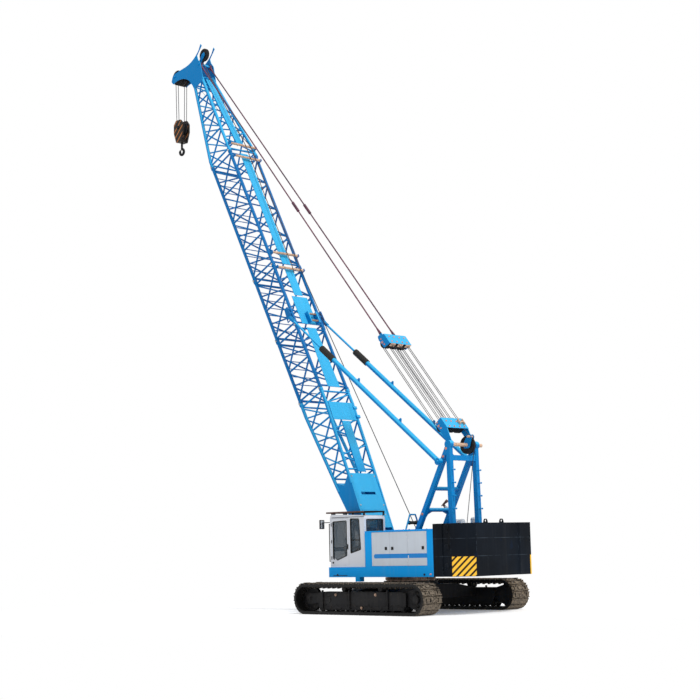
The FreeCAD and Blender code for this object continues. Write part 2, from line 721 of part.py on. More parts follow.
step_block = box("step_block", ("550", "deck_half_width - 190", "deck_bottom - 130"), ("170", "190", "135"))
pin_low = "boom_half_width - 32"
lug_profile = [
    ("foot_place - 330", "deck_top - 5"),
    ("foot_place + 330", "deck_top - 5"),
    ("foot_place + 120", "foot_height + 60"),
    ("foot_place + 60", "foot_height + 115"),
    ("foot_place - 60", "foot_height + 115"),
    ("foot_place - 120", "foot_height + 60"),
]
lugs = [
    slab("lug_inner", "XZ_Plane", lug_profile, pin_low + " - 1 - plate_mid", pin_low + " - 1"),
    slab("lug_outer", "XZ_Plane", lug_profile, pin_low + " + 65", pin_low + " + 65 + plate_mid"),
    rod("foot_pin", "y", ("foot_place", pin_low + " - 35", "foot_height"), "45", "134"),
]
lugs += [mirror(lug.Name + "_right", lug) for lug in lugs]
node(fuse("deck_frame", [deck_shell, inner_race, step_block] + lugs), "deck")

# Left house: a hollow housing with one long opening for three doors, and jambs behind them
house_block = box("house_block", ("deck_rear", "house_inner", "deck_top"),
                  ("house_front - deck_rear", "deck_half_width - house_inner", "house_top - deck_top"))
house_space = box("house_space", ("deck_rear + house_wall", "house_inner + house_wall", "deck_top - 5"),
                  ("house_front - deck_rear - 2 * house_wall",
                   "deck_half_width - house_inner - 2 * house_wall", "house_top - deck_top - house_wall + 5"))
door_gap = "run_gap / 2"
doorway = box("doorway", ("door_seam_rear - run_gap / 2", "deck_half_width - 60", "door_bottom - run_gap"),
              ("door_seam_front - door_seam_rear + run_gap", "100", "door_top - door_bottom + 2 * run_gap"))
house_shell = cut("house_shell", house_block, [house_space, doorway])
jamb_back = "deck_half_width - door_thickness - 45"
jamb_depth = "45 - seat_gap"
jamb_low = "door_bottom - run_gap - 20"
jamb_rise = "door_top - door_bottom + 2 * run_gap + 40"
jambs = []
for i, seam in enumerate(("door_seam_rear", "door_seam_third", "door_seam_second", "door_seam_front")):
    jambs.append(box("jamb_%d" % i, (seam + " - 45", jamb_back, jamb_low), ("90", jamb_depth, jamb_rise)))
for i, height in enumerate((jamb_low, "door_top - 25")):
    jambs.append(box("jamb_rail_%d" % i, ("door_seam_rear - 45", jamb_back, height),
                     ("door_seam_front - door_seam_rear + 90", jamb_depth, "51")))
left_house = node(fuse("left_house_frame", [house_shell] + jambs), "left_house")
node(mirror("right_house_frame", left_house), "right_house")


def side_door(name, rear, front):
    """A house door: an outer skin with its edges turned in and a shallow stiffened back."""
    low_x = rear + " + " + door_gap
    wide = "%s - (%s) - run_gap" % (front, rear)
    skin = box(name + "_skin", (low_x, "deck_half_width - door_thickness", "door_bottom"),
               (wide, "door_thickness", "door_top - door_bottom"))
    back = box(name + "_back", (low_x + " + 60", "deck_half_width - door_thickness - 5", "door_bottom + 60"),
               (wide + " - 120", "door_thickness - 5", "door_top - door_bottom - 120"))
    return cut(name + "_panel", skin, [back])


seams = ("door_seam_rear", "door_seam_third", "door_seam_second", "door_seam_front")
for i, title in enumerate(("rear", "middle", "front")):
    panel = side_door(title + "_door", seams[i], seams[i + 1])
    node(panel, "left_%s_door" % title)
    node(mirror("right_%s_door_panel" % title, panel), "right_%s_door" % title)

# Right side tank with a sloped front and the engine block in the right house
tank_profile = [
    ("tank_rear", "deck_top + seat_gap"),
    ("tank_front", "deck_top + seat_gap"),
    ("tank_front", "tank_top - 420"),
    ("tank_front - 260", "tank_top"),
    ("tank_rear", "tank_top"),
]
node(slab("tank", "XZ_Plane", tank_profile, "-deck_half_width", "-house_inner - 40"), "side_tank")
node(box("engine_block", ("engine_rear", "-house_inner - 80 - engine_width", "deck_top + seat_gap"),
         ("engine_length", "engine_width", "engine_height")), "engine")

# Cab: a folded shell with cut windows, the door in its outer side
roof = "(cab_top - cab_roof_fall * (cab_front - (%s)) / (cab_front - cab_rear))"
cab_floor = "deck_top + seat_gap"
cab_outline = [
    ("cab_rear", cab_floor),
    ("cab_front", cab_floor),
    ("cab_front", "cab_top"),
    ("cab_rear", roof % "cab_rear"),
]
cab_inside = [
    ("cab_rear + cab_wall", cab_floor + " + cab_wall"),
    ("cab_front - cab_wall", cab_floor + " + cab_wall"),
    ("cab_front - cab_wall", "cab_top - cab_wall"),
    ("cab_rear + cab_wall", roof % "cab_rear" + " - cab_wall"),
]


def high_up(spot):
    """True at the roof's edges and false at the floor's."""
    return spot.z > (val("deck_top") + val("cab_top")) / 2


cab_block = slab("cab_block", "XZ_Plane", cab_outline, "cab_inner", "cab_outer")
rounded(cab_block, "XZ_Plane", "cab_round", high_up)
cab_space = slab("cab_space", "XZ_Plane", cab_inside, "cab_inner + cab_wall", "cab_outer - cab_wall")
rounded(cab_space, "XZ_Plane", "cab_round - cab_wall", high_up)
door_front = "cab_front - 40"
door_rear = "cab_rear + 660"
door_low = "deck_top + 60"
door_high = "cab_top - 120"
rear_side_glass = [
    ("cab_rear + 150", "deck_top + 500"),
    ("cab_rear + 590", "deck_top + 390"),
    ("cab_rear + 590", "cab_top - 130"),
    ("cab_rear + 205", "cab_top - 145"),
]
inner_side_glass = [
    ("cab_rear + 250", "deck_top + 620"),
    ("cab_front - 130", "deck_top + 480"),
    ("cab_front - 130", "cab_top - 150"),
    ("cab_rear + 250", "cab_top - 170"),
]
upper_front_glass = [
    ("cab_inner + 70", "deck_top + 560"),
    ("cab_outer - 70", "deck_top + 560"),
    ("cab_outer - 70", "cab_top - 150"),
    ("cab_inner + 70", "cab_top - 150"),
]
lower_front_glass = [
    ("cab_inner + 70", "deck_top + 130"),
    ("cab_outer - 70", "deck_top + 130"),
    ("cab_outer - 70", "deck_top + 500"),
    ("cab_inner + 70", "deck_top + 500"),
]
rear_glass = [
    ("cab_inner + 80", "deck_top + 700"),
    ("cab_outer - 80", "deck_top + 700"),
    ("cab_outer - 80", "cab_top - 160"),
    ("cab_inner + 80", "cab_top - 160"),
]
windows = (
    ("rear_side_glass", "XZ_Plane", rear_side_glass, "cab_outer - cab_wall / 2"),
    ("inner_side_glass", "XZ_Plane", inner_side_glass, "cab_inner + cab_wall / 2"),
    ("upper_front_glass", "YZ_Plane", upper_front_glass, "cab_front - cab_wall / 2"),
    ("lower_front_glass", "YZ_Plane", lower_front_glass, "cab_front - cab_wall / 2"),
    ("rear_glass", "YZ_Plane", rear_glass, "cab_rear + cab_wall / 2"),
)
holes = []
panes = []
for title, plane, points, middle in windows:
    hole = slab(title + "_hole", plane, points, middle + " - cab_wall", middle + " + cab_wall")
    pane = slab(title, plane, points, middle + " - glass_thickness / 2", middle + " + glass_thickness / 2")
    holes.append(rounded(hole, plane, "window_round"))
    panes.append(rounded(pane, plane, "window_round"))
cab_doorway = box("cab_doorway", (door_rear, "cab_outer - cab_wall - 5", door_low),
                  (door_front + " - (%s)" % door_rear, "cab_wall + 10", door_high + " - (%s)" % door_low))
cab_panels = cut("cab_panels", cab_block, [cab_space, cab_doorway] + holes)
stop_outer = box("stop_outer", (door_rear + " - 20", "cab_outer - cab_wall - 18", door_low + " - 10"),
                 (door_front + " - (%s) + 20" % door_rear, "18 - seat_gap",
                  door_high + " - (%s) + 20" % door_low))
stop_inner = box("stop_inner", (door_rear + " + 22", "cab_outer - cab_wall - 30", door_low + " + 22"),
                 (door_front + " - (%s) - 44" % door_rear, "60", door_high + " - (%s) - 44" % door_low))
door_stop = cut("door_stop", stop_outer, [stop_inner])
node(fuse("cab_frame", [cab_panels, door_stop]), "cab_shell")
node(group("cab_panes", panes), "cab_glass")

door_glass = [
    (door_rear + " + 62", "deck_top + 330"),
    (door_rear + " + 490", "deck_top + 190"),
    (door_front + " - 62", "deck_top + 240"),
    (door_front + " - 62", "cab_top - 205"),
    (door_rear + " + 62", "cab_top - 185"),
]
cab_door_block = box("cab_door_block", (door_rear + " + run_gap", "cab_outer - cab_wall", door_low + " + run_gap"),
                     (door_front + " - (%s) - 2 * run_gap" % door_rear, "cab_wall",
                      door_high + " - (%s) - 2 * run_gap" % door_low))
door_hole = slab("door_hole", "XZ_Plane", door_glass, "cab_outer - cab_wall - 5", "cab_outer + 5")
rounded(door_hole, "XZ_Plane", "window_round")
node(cut("cab_door_panel", cab_door_block, [door_hole]), "cab_door")
door_pane = slab("door_pane", "XZ_Plane", door_glass, "cab_outer - cab_wall / 2 - glass_thickness / 2",
                 "cab_outer - cab_wall / 2 + glass_thickness / 2")
node(rounded(door_pane, "XZ_Plane", "window_round"), "cab_door_glass")

# Roof guard: a frame with cross bars on four short posts
guard_low = "cab_top + 30"
guard_outer = box("guard_outer", ("cab_rear", "cab_inner + 10", guard_low),
                  ("cab_front - cab_rear + 140", "cab_outer - cab_inner", "45"))
guard_hole = box("guard_hole", ("cab_rear + 45", "cab_inner + 55", guard_low + " - 5"),
                 ("cab_front - cab_rear + 50", "cab_outer - cab_inner - 90", "55"))
guard_bars = []
for i in range(6):
    spot = "cab_rear + (cab_front - cab_rear + 140) * %d / 7" % (i + 1)
    guard_bars.append(box("guard_bar_%d" % i, (spot, "cab_inner + 30", guard_low + " + 10"),
                          ("18", "cab_outer - cab_inner - 40", "25")))
guard_posts = []
for i, (along, across) in enumerate((("cab_rear + 5", "cab_inner + 15"), ("cab_rear + 5", "cab_outer - 45"),
                                     ("cab_front - 150", "cab_inner + 15"), ("cab_front - 150", "cab_outer - 45"))):
    bottom = roof % (along + " + 40") + " + seat_gap"
    guard_posts.append(box("guard_post_%d" % i, (along, across, bottom),
                           ("40", "40", guard_low + " + 5 - " + bottom)))
guard_frame = cut("guard_frame", guard_outer, [guard_hole])
node(fuse("guard", [guard_frame] + guard_bars + guard_posts), "roof_guard")

# Seat with side consoles on the cab floor
seat_floor = cab_floor + " + cab_wall + seat_gap"
seat_profile = [
    ("cab_rear + 420", seat_floor + " + 300"),
    ("cab_rear + 900", seat_floor + " + 320"),
    ("cab_rear + 900", seat_floor + " + 430"),
    ("cab_rear + 500", seat_floor + " + 415"),
    ("cab_rear + 400", seat_floor + " + 1010"),
    ("cab_rear + 300", seat_floor + " + 990"),
]
seat_middle = "(cab_inner + cab_outer) / 2"
seat = slab("seat_cushions", "XZ_Plane", seat_profile, seat_middle + " - 230", seat_middle + " + 230")
seat_base = box("seat_base", ("cab_rear + 480", seat_middle + " - 150", seat_floor), ("320", "300", "330"))
console_profile = [
    ("cab_rear + 420", seat_floor),
    ("cab_rear + 850", seat_floor),
    ("cab_rear + 980", seat_floor + " + 540"),
    ("cab_rear + 950", seat_floor + " + 580"),
    ("cab_rear + 420", seat_floor + " + 540"),
]
consoles = [
    slab("console_inner", "XZ_Plane", console_profile, seat_middle + " - 380", seat_middle + " - 245"),
    slab("console_outer", "XZ_Plane", console_profile, seat_middle + " + 245", seat_middle + " + 345"),
]
floor_rail = box("floor_rail", ("cab_rear + 450", seat_middle + " - 375", seat_floor), ("380", "715", "30"))
node(fuse("seat", [seat, seat_base, floor_rail] + consoles), "operator_seat")

# Mirror on an arm at the cab's front corner
arm = rod("mirror_arm", "x", ("cab_front + seat_gap", "cab_outer - 25", "cab_top - 230"), "12", "250")
arm_out = rod("mirror_arm_out", "y", ("cab_front + 240", "cab_outer - 40", "cab_top - 230"), "12", "110")
mirror_head = box("mirror_head", ("cab_front + 222", "cab_outer + 20", "cab_top - 420"), ("36", "170", "270"))
node(fuse("mirror_set", [arm, arm_out, mirror_head]), "cab_mirror")

# Muffler on two saddles on the right house, with an upright tail pipe
muffler_height = "house_top + muffler_rise"
muffler_can = rod("muffler_can", "x", ("muffler_place", "-stack_across", muffler_height), "muffler_radius",
                  "muffler_length")
tail = rod("tail_pipe", "z", ("muffler_place + muffler_length - 70", "-stack_across", muffler_height),
           "tail_radius", "420")
saddles = [box("saddle_%d" % i, (along, "-stack_across - 60", "house_top + seat_gap"),
                ("40", "120", "muffler_rise - 50"))
            for i, along in enumerate(("muffler_place + 70", "muffler_place + muffler_length - 150"))]
muffler_set = fuse("muffler_set", [muffler_can, tail] + saddles)

# Air cleaner beside it: a bowl on a short neck, under a domed cap
cleaner = new_body("cleaner")
cleaner_profile = [
    ("0", "0"),
    ("70", "0"),
    ("70", "90"),
    ("125", "130"),
    ("125", "290"),
    ("105", "330"),
    ("45", "352"),
    ("0", "355"),
]
cleaner_sketch = outline(cleaner, "cleaner_profile", "XZ_Plane", cleaner_profile)
cleaner_turn = cleaner.newObject("PartDesign::Revolution", "cleaner_turn")
cleaner_turn.Profile = cleaner_sketch
cleaner_turn.ReferenceAxis = (cleaner_sketch, ["V_Axis"])
cleaner_turn.Angle = 360
place(cleaner, ("cleaner_place", "-stack_across", "house_top + seat_gap"))
node(group("stacks", [muffler_set, cleaner]), "muffler")

# Counterweight: three stacked castings with a chamfered tail and a shallow recess behind


def weight(name, low, high):
    block = slab(name, "XY_Plane", [
        ("deck_rear - seat_gap", "-weight_half_width"),
        ("deck_rear - seat_gap", "weight_half_width"),
        ("weight_corner", "weight_half_width"),
        ("weight_rear", "weight_rear_half"),
        ("weight_rear", "weight_recess_half"),
        ("weight_rear + weight_recess_depth", "weight_recess_half - weight_recess_depth"),
        ("weight_rear + weight_recess_depth", "-weight_recess_half + weight_recess_depth"),
        ("weight_rear", "-weight_recess_half"),
        ("weight_rear", "-weight_rear_half"),
        ("weight_corner", "-weight_half_width"),
    ], low, high)
    rise = "(%s) - (%s)" % (high, low)
    slot = box(name + "_slot", ("slot_rear", "weight_half_width - slot_depth", low + " - 5"),
               ("slot_front - slot_rear", "slot_depth + 5", rise + " + 10"))
    boss = rod(name + "_boss", "y", ("(slot_front + slot_rear) / 2", "weight_half_width - slot_depth - 5",
                                     "(%s) + (%s) * 0.5" % (low, rise)), "boss_radius", "slot_depth + 5")
    slots = [slot, mirror(name + "_slot_right", slot)]
    return fuse(name + "_casting", [cut(name + "_slotted", block, slots), boss,
                                    mirror(name + "_boss_right", boss)])


def lifting_eye(name, across):
    """A half round eye plate on top of the highest casting, with a bore for a shackle pin."""
    lug = slab(name + "_lug", "XZ_Plane", [
        ("eye_place - 85", "weight_top - 20"),
        ("eye_place + 85", "weight_top - 20"),
        ("eye_place + 60", "weight_top + eye_height + 20"),
        ("eye_place + 30", "weight_top + eye_height + 55"),
        ("eye_place - 30", "weight_top + eye_height + 55"),
        ("eye_place - 60", "weight_top + eye_height + 20"),
    ], across + " - 15", across + " + 15")
    bore = rod(name + "_bore", "y", ("eye_place", across + " - 20", "weight_top + eye_height"),
               "eye_bore_radius", "40")
    return cut(name, lug, [bore])


eyes = [lifting_eye("eye_left", "eye_spread"), lifting_eye("eye_right", "-eye_spread")]
upper_casting = weight("weight_upper", "weight_second + seat_gap", "weight_top")
layers = [
    weight("weight_lower", "deck_bottom", "weight_first"),
    weight("weight_middle", "weight_first + seat_gap", "weight_second"),
    fuse("weight_upper_with_eyes", [upper_casting] + eyes),
]
node(group("weights", layers), "counterweight")

# ------------------------------------------------------- A-frame, winches, luffing gear

leg_low = "frame_half_width - leg_size / 2"


def leg(name, foot):
    """A leg from the deck up to the apex, cut level at its foot."""
    return slab(name, "XZ_Plane", [
        (foot + " - leg_size * 0.56", "deck_top + seat_gap"),
        (foot + " + leg_size * 0.56", "deck_top + seat_gap"),
        ("apex_place + leg_size * 0.5", "apex_height"),
        ("apex_place - leg_size * 0.5", "apex_height"),
    ], leg_low, leg_low + " + leg_size")


def leg_x(foot, height):
    """Where a leg's middle is along X at a height."""
    return "(%s + (apex_place - (%s)) * (%s - deck_top) / (apex_height - deck_top))" % (foot, foot, height)


left_legs = [leg("front_leg", "front_leg_foot"), leg("rear_leg", "rear_leg_foot")]
left_legs.append(rod("leg_head", "y", ("apex_place", leg_low, "apex_height"), "leg_size * 0.85", "leg_size"))
stop_boss = rod("stop_boss", "y", ("stop_foot_x", "frame_half_width", "stop_height"),
                "stop_rod_radius", "stop_half_width + stop_radius - frame_half_width + 15")
for i, foot in enumerate(("front_leg_foot", "rear_leg_foot")):
    reach = "70" if i else "100"
    left_legs.append(box("leg_shoe_%d" % i, (foot + " - 40 - " + reach, leg_low + " - 20", "deck_top + seat_gap"),
                         ("2 * %s + 80" % reach, "leg_size + 40", "30")))
left_legs.append(stop_boss)
right_legs = [mirror(piece.Name + "_right", piece) for piece in left_legs]
ties = []
for i, drop in enumerate(("upper_tie_drop", "lower_tie_drop")):
    height = "(apex_height - %s)" % drop
    ties.append(rod("front_tie_%d" % i, "y", (leg_x("front_leg_foot", height), "-frame_half_width", height),
                    "tie_radius", "2 * frame_half_width"))
gusset_x = leg_x("front_leg_foot", "(apex_height - lower_tie_drop - 90)")
gusset = slab("tie_gusset", "YZ_Plane", [
    ("frame_half_width - 30", "apex_height - lower_tie_drop"),
    ("frame_half_width - 330", "apex_height - lower_tie_drop"),
    ("frame_half_width - 330", "apex_height - lower_tie_drop - tie_radius"),
    ("frame_half_width - 150", "apex_height - lower_tie_drop - 130"),
    ("frame_half_width - 60", "apex_height - lower_tie_drop - 230"),
    ("frame_half_width - 30", "apex_height - lower_tie_drop - 230"),
], gusset_x + " - 10", gusset_x + " + 10")
ties += [gusset, mirror("tie_gusset_right", gusset)]
beam_x = leg_x("rear_leg_foot", "(apex_height - beam_drop)")
top_beam = slab("top_beam", "YZ_Plane", [
    ("-frame_half_width", "apex_height - beam_drop - 90"),
    ("frame_half_width", "apex_height - beam_drop - 90"),
    ("frame_half_width", "apex_height - beam_drop + 150"),
    ("frame_half_width - 120", "apex_height - beam_drop + 60"),
    ("-frame_half_width + 120", "apex_height - beam_drop + 60"),
    ("-frame_half_width", "apex_height - beam_drop + 150"),
], beam_x + " - 60", beam_x + " + 60")
rear_tie_height = "(house_top + 24)"
rear_tie = rod("rear_tie", "y", (leg_x("rear_leg_foot", rear_tie_height), "-frame_half_width", rear_tie_height),
               "tie_radius - 14", "2 * frame_half_width")
apex_shaft = rod("apex_shaft", "y", ("apex_place", "-850", "apex_height"), "shaft_radius", "1480")
node(fuse("a_frame_steel", left_legs + right_legs + ties + [top_beam, rear_tie, apex_shaft]), "a_frame")


def sheave_profile(radius, bore, half):
    """Half section of a rope sheave: hub, thin web, grooved rim."""
    return [
        (bore, "-%s" % half),
        (bore + " + 28", "-%s" % half),
        (bore + " + 34", "-%s * 0.4" % half),
        (radius + " - 62", "-%s * 0.4" % half),
        (radius + " - 50", "-%s * 0.9" % half),
        (radius, "-%s * 0.9" % half),
        (radius + " - 34", "0"),
        (radius, "%s * 0.9" % half),
        (radius + " - 50", "%s * 0.9" % half),
        (radius + " - 62", "%s * 0.4" % half),
        (bore + " + 34", "%s * 0.4" % half),
        (bore + " + 28", "%s" % half),
        (bore, "%s" % half),
    ]


apex_sheave = turned("apex_wheel", sheave_profile("apex_sheave_radius", "shaft_radius + 0.5", "42"),
                     ("apex_place", "-250", "apex_height"))
node(apex_sheave, "apex_sheave")

# Winches: three drums between two rows of bearing plates
drum_profile = [
    ("0", "-drum_half_length - 60"),
    ("52", "-drum_half_length - 60"),
    ("52", "-drum_half_length"),
    ("flange_radius", "-drum_half_length"),
    ("flange_radius", "-drum_half_length + 22"),
    ("drum_radius", "-drum_half_length + 30"),
    ("drum_radius", "drum_half_length - 30"),
    ("flange_radius", "drum_half_length - 22"),
    ("flange_radius", "drum_half_length"),
    ("52", "drum_half_length"),
    ("52", "drum_half_length + 60"),
    ("0", "drum_half_length + 60"),
]
stand_low = "drum_half_length + 12"
stands = []
winches = (("main_winch_place", "main_winch_drum"), ("second_winch_place", "second_winch_drum"),
           ("luff_winch_place", "luffing_winch_drum"))
for spot, title in winches:
    node(turned(title + "_turned", drum_profile, (spot, "0", "winch_height")), title)
    stand = slab(title + "_stand", "XZ_Plane", [
        (spot + " - 260", "deck_top + seat_gap"),
        (spot + " + 260", "deck_top + seat_gap"),
        (spot + " + 110", "winch_height + 60"),
        (spot + " + 55", "winch_height + 110"),
        (spot + " - 55", "winch_height + 110"),
        (spot + " - 110", "winch_height + 60"),
    ], stand_low, stand_low + " + plate_mid")
    bearing = rod(title + "_bearing", "y", (spot, stand_low + " - 5", "winch_height"), "52.5", "60")
    bearing_plate = cut(title + "_bearing_plate", stand, [bearing])
    stands += [bearing_plate, mirror(title + "_bearing_plate_right", bearing_plate)]
node(group("stands", stands), "winch_stands")

# Rope hoop over the main winch: two bent legs on its stands, a top bar and a roller bar
hoop_x = val("main_winch_place")
stand_y = val("drum_half_length") + 12 + val("plate_mid") / 2
stand_top = val("winch_height") + 110 + val("seat_gap")


def hoop_shape():
    """A bent tube hoop that keeps the hoist rope over its drum."""
    route = [Vector(hoop_x, stand_y, stand_top), Vector(hoop_x, stand_y, stand_top + 290),
             Vector(hoop_x, 120, stand_top + 1000)]
    pieces = [Part.makeCylinder(24, 2 * route[-1].y, Vector(hoop_x, -route[-1].y, route[-1].z),
                                Vector(0, 1, 0))]
    for sense in (-1, 1):
        points = [Vector(p.x, sense * p.y, p.z) for p in route]
        pieces += [Part.makeCylinder(24, (b - a).Length, a, b - a) for a, b in zip(points, points[1:])]
        pieces += [Part.makeSphere(24, p) for p in points[1:]]
    bar_height = stand_top + 760
    reach = stand_y - (stand_y - 120) * 470 / 710
    pieces.append(Part.makeCylinder(18, 2 * reach, Vector(hoop_x, -reach, bar_height), Vector(0, 1, 0)))
    pieces.append(Part.makeCylinder(42, 200, Vector(hoop_x, -100, bar_height), Vector(0, 1, 0)))
    return pieces[0].multiFuse(pieces[1:])


node(shaped("hoop", hoop_shape()), "rope_hoop")


def pulled(obj):
    """Place a piece drawn along the luffing ropes: from the apex shaft, in the line of pull."""
    obj.Placement = Placement(Vector(), Rotation(Vector(0, 1, 0), -45))
    bind(obj, "Placement.Rotation.Angle", "pull_angle * 1deg")
    obj.Placement.Rotation.Axis = Vector(0, -1, 0)
    return place(obj, ("apex_place", "0", "apex_height"))


# Luffing bail: two arms on the apex shaft, a cover plate and the axle of six sheaves
arm_low = "frame_half_width - leg_size / 2 - 45"
bail_arm_profile = [
    ("-60", "-55"),
    ("bail_reach + 70", "-70"),
    ("bail_reach + 150", "-20"),
    ("bail_reach + 150", "luff_sheave_radius + 20"),
    ("bail_reach - 240", "luff_sheave_radius + 20"),
    ("60", "75"),
    ("-60", "55"),
]
bail_arm = slab("bail_arm", "XZ_Plane", bail_arm_profile, arm_low, arm_low + " + plate_mid")
bail_bore = rod("bail_bore", "y", ("0", "-600", "0"), "shaft_radius + 0.5", "1200")
bail_plate = box("bail_plate", ("bail_reach - 240", "-(%s) - plate_mid" % arm_low, "luff_sheave_radius + 19"),
                 ("390", "2 * (%s) + 2 * plate_mid" % arm_low, "16"))
bail_axle = rod("bail_axle", "y", ("bail_reach", "-(%s) - plate_mid - 15" % arm_low, "0"), "36",
                "2 * (%s) + 2 * plate_mid + 30" % arm_low)
bail_steel = fuse("bail_steel", [bail_arm, mirror("bail_arm_right", bail_arm), bail_plate, bail_axle])
node(pulled(cut("bail", bail_steel, [bail_bore])), "luffing_bail")

luff_spots = ("-370", "-290", "-40", "40", "290", "370")
bail_wheels = []
spreader_wheels = []
for i, spot in enumerate(luff_spots):
    profile = sheave_profile("luff_sheave_radius", "36.5", "36")
    bail_wheels.append(turned("bail_wheel_%d" % i, profile, ("bail_reach", spot, "0")))
    spreader_wheels.append(turned("spreader_wheel_%d" % i, profile, ("spreader_reach", spot, "0")))
node(pulled(group("bail_wheels", bail_wheels)), "bail_sheaves")

# Luffing spreader: the same with a frame of its own, at the lower end of the pendants
spreader_arm = slab("spreader_arm", "XZ_Plane", [
    ("spreader_reach - 160", "-60"),
    ("spreader_reach + 170", "-70"),
    ("spreader_reach + 260", "-40"),
    ("spreader_reach + 260", "60"),
    ("spreader_reach + 170", "luff_sheave_radius + 20"),
    ("spreader_reach - 220", "luff_sheave_radius + 20"),
], arm_low, arm_low + " + plate_mid")
spreader_plate = box("spreader_plate", ("spreader_reach - 220", "-(%s) - plate_mid" % arm_low,
                                        "luff_sheave_radius + 19"),
                     ("390", "2 * (%s) + 2 * plate_mid" % arm_low, "16"))
spreader_axle = rod("spreader_axle", "y", ("spreader_reach", "-(%s) - plate_mid - 15" % arm_low, "0"), "36",
                    "2 * (%s) + 2 * plate_mid + 30" % arm_low)
spreader_tie = box("spreader_tie", ("spreader_reach + 225", "-(%s) - plate_mid" % arm_low, "-30"),
                   ("50", "2 * (%s) + 2 * plate_mid" % arm_low, "80"))
lugs = []
for i, sign in enumerate(("-", "")):
    lugs.append(slab("socket_lug_%d" % i, "XZ_Plane", [
        ("spreader_reach + 230", "-55"),
        ("spreader_reach + 370", "-45"),
        ("spreader_reach + 400", "0"),
        ("spreader_reach + 370", "45"),
        ("spreader_reach + 230", "60"),
    ], sign + "300 - 20", sign + "300 + 20"))
spreader_steel = fuse("spreader_steel", [spreader_arm, mirror("spreader_arm_right", spreader_arm),
                                         spreader_plate, spreader_axle, spreader_tie] + lugs)
node(pulled(spreader_steel), "luffing_spreader")
node(pulled(group("spreader_wheels", spreader_wheels)), "spreader_sheaves")


pin_half = val("head_half") - 40


def pendant_shape(sign):
    """A pendant: rope with a socket at each end, a link in the middle and an eye at the head."""
    start = Vector(val("spreader_reach") + 400 + val("seat_gap"), sign * 300, 0)
    eye_centre = Vector(val("pull_length"), sign * pin_half, 0)
    line = eye_centre - start
    along = Vector(line).normalize()
    finish = eye_centre - along * 70
    thin = val("pendant_radius")
    thick = 2.1 * thin
    pieces = [
        Part.makeCone(thick, thin, 260, start, along),
        Part.makeCone(thick, thin, 260, finish, along * -1),
        Part.makeCylinder(thick, 420, start + line * 0.42, along),
    ]
    eye = Part.makeCylinder(78, 56, eye_centre - Vector(0, 28, 0), Vector(0, 1, 0))
    bore = Part.makeCylinder(32 + val("seat_gap"), 60, eye_centre - Vector(0, 30, 0), Vector(0, 1, 0))
    rope = Part.makeCylinder(thin, line.Length - 75, start, along)
    return rope.multiFuse(pieces + [eye]).cut(bore)


# ------------------------------------------------------------------------- boom
# The boom is drawn along its own axis from the foot pins: X along, Y across, Z to the rear.


def on_boom(obj):
    """Place a piece drawn along the boom's axis at the foot pins and the boom's angle."""
    obj.Placement = Placement(Vector(), Rotation(Vector(0, -1, 0), 45))
    bind(obj, "Placement.Rotation.Angle", "boom_angle * 1deg")
    return place(obj, ("foot_place", "0", "foot_height"))


chord_radius = val("chord_radius")
lacing_radius = val("lacing_radius")
# Tubes that meet differ a little in radius, so that no two faces coincide
square_share = 0.97
slant_share = 0.87
rise_share = 0.93
fall_share = 0.8
head_depth_share = 0.9
# The foot section's half depth at the pin, and its growth in a metre, as shares of the full half depth
foot_depth_share = 0.28
foot_growth_share = 0.15
half_width = val("boom_half_width")
half_depth = val("boom_half_depth")
panel = val("panel_length")
head_base = val("head_base")
taper_start = head_base + 260
box_end = val("foot_box_length")


def section(along):
    """Half width and half depth of the boom between chord centres at a distance along it."""
    if along > taper_start:
        share = (along - taper_start) / (val("head_start") - taper_start)
        wide = half_width + (val("head_half") - half_width) * share
        deep = half_depth + (val("head_half") * head_depth_share - half_depth) * share
        return wide, deep
    return half_width, min(half_depth, half_depth * (foot_depth_share + foot_growth_share * along / 1000))


def corner(along, across, back):
    """A point on a chord: across is 1 on the left, back is 1 on the rear face."""
    wide, deep = section(along)
    return Vector(along, across * wide, back * deep)


def tube(start, finish, radius):
    return Part.makeCylinder(radius, (finish - start).Length, start, finish - start)


def chord(stops, across, back):
    """A chord tube through the given distances, with round corners where it bends."""
    points = [corner(along, across, back) for along in stops]
    pieces = [tube(a, b, chord_radius) for a, b in zip(points, points[1:])]
    pieces += [Part.makeSphere(chord_radius, point) for point in points[1:-1]]
    return pieces


def brace(start, finish, radius):
    """A lacing tube between two chord centres, stopped short of both centres."""
    inset = (finish - start).normalize() * (chord_radius * 0.5)
    return tube(start + inset, finish - inset, radius)


def lattice(stops, bends, cut_ends):
    """A boom section: four chords and their lacing between the given panel stations."""
    first, last = stops[0], stops[-1]
    pieces = []
    for across in (-1, 1):
        for back in (-1, 1):
            pieces += chord([cut_ends[0]] + bends + [cut_ends[1]], across, back)
    # Side faces: a strut at each station, two crossed diagonals in each panel
    toe = 2.2 * lacing_radius
    for across in (-1, 1):
        for along in stops:
            pieces.append(brace(corner(along, across, -1), corner(along, across, 1), lacing_radius))
        for a, b in zip(stops, stops[1:]):
            rise = brace(corner(a + toe, across, -1), corner(b - toe, across, 1), lacing_radius * rise_share)
            fall = brace(corner(a + toe, across, 1), corner(b - toe, across, -1), lacing_radius * fall_share)
            pieces += [rise, fall]
    # Front and rear faces: one zigzag each, and a strut at each end
    for back in (-1, 1):
        for along in (first, last):
            pieces.append(brace(corner(along, -1, back), corner(along, 1, back), lacing_radius * square_share))
        for a, b in zip(stops, stops[1:]):
            middle = (a + b) / 2
            pieces.append(brace(corner(a + toe, -1, back), corner(middle - toe / 2, 1, back),
                                lacing_radius * slant_share))
            pieces.append(brace(corner(middle + toe / 2, 1, back), corner(b - toe, -1, back),
                                lacing_radius * slant_share))
    return pieces


